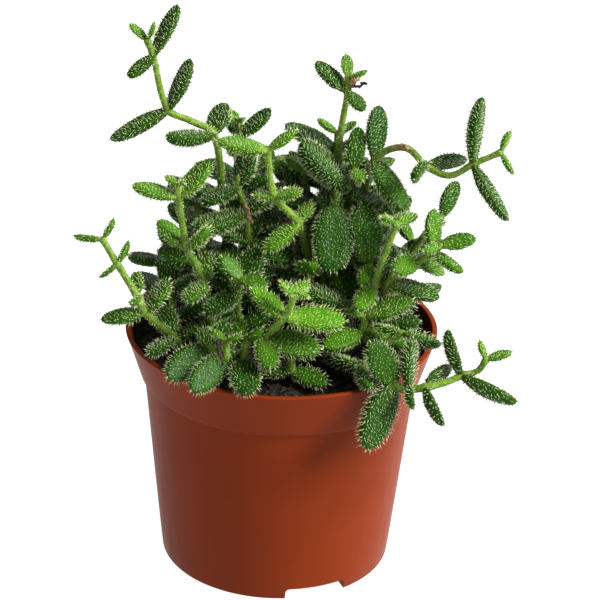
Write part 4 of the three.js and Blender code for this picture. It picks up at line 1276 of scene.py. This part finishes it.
def make_camera():
    camera = new_object("camera", bpy.data.cameras.new("camera"))
    camera.location = Vector(CAMERA_AT) * MM
    look = (Vector(CAMERA_AIM) - Vector(CAMERA_AT)).to_track_quat("-Z", "Y")
    camera.rotation_mode = "QUATERNION"
    camera.rotation_quaternion = look @ Quaternion((0, 0, 1), radians(CAMERA_ROLL))
    camera.data.sensor_width = CAMERA_SENSOR
    camera.data.lens = CAMERA_LENS
    camera.data.clip_start, camera.data.clip_end = CAMERA_CLIP
    bpy.context.scene.camera = camera


def make_light(name, at, size, power):
    light = bpy.data.lights.new(name, "AREA")
    light.shape, light.size, light.energy = "DISK", size, power
    lamp = new_object(name, light)
    lamp.location = at
    lamp.rotation_mode = "QUATERNION"
    lamp.rotation_quaternion = (Vector(LIGHTS_AIM) - Vector(at)).to_track_quat("-Z", "Y")


def make_stage():
    mesh = bpy.data.meshes.new("floor")
    signs = ((-1, -1), (1, -1), (1, 1), (-1, 1))
    mesh.from_pydata([(x * FLOOR_HALF, y * FLOOR_HALF, 0) for x, y in signs], [], [(0, 1, 2, 3)])
    floor = new_object("floor", mesh)
    made = Nodes("floor")
    made.set(
        Base_Color=(FLOOR_GREY, FLOOR_GREY, FLOOR_GREY, 1), Roughness=0.8, Specular_IOR_Level=0.1,
        Emission_Color=WHITE, Emission_Strength=FLOOR_GLOW,
    )
    floor.data.materials.append(made.material)
    world = bpy.data.worlds.new("studio")
    world.use_nodes = True
    sky = world.node_tree.nodes["Background"].inputs
    sky["Color"].default_value = WHITE
    sky["Strength"].default_value = WORLD_LIGHT
    bpy.context.scene.world = world
    for name, (at, size, power) in LIGHTS.items():
        make_light(name, at, size, power)
    bpy.context.scene.view_settings.view_transform = "Standard"


# The object
make_camera()
make_stage()

leaf_skin, bristle = leaf_material(), bristle_material()
stems = [Stem(name, rows) for name, rows in STEMS.items()]
press_apart([leaf for stem in stems for leaf in stem.leaves], stem_beads(stems))
for stem in stems:
    skin, bristles = Skin("youth", "green", "groove", "tone"), Skin("youth", "rise")
    add_stem(skin, bristles, stem)
    for leaf in stem.leaves:
        add_leaf(skin, bristles, leaf)
    body = skin.object("leafy_" + stem.name, leaf_skin)
    fur = bristles.object("bristles_" + stem.name, bristle)
    for piece in (body, fur):
        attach(piece, "root")
    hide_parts("stem_" + stem.name)

withered = make_withered(withered_material(), stems)
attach(withered, "root")

pot = make_pot(pot_material())
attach(pot, "root")
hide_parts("pot")

soil, soil_edge = make_soil(soil_material("peat", PEAT, PEAT))
crumbs = make_crumbs(soil_material("peat_crumb", *CRUMB), soil_edge)
for piece in (soil, crumbs):
    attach(piece, "root")
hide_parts("soil")
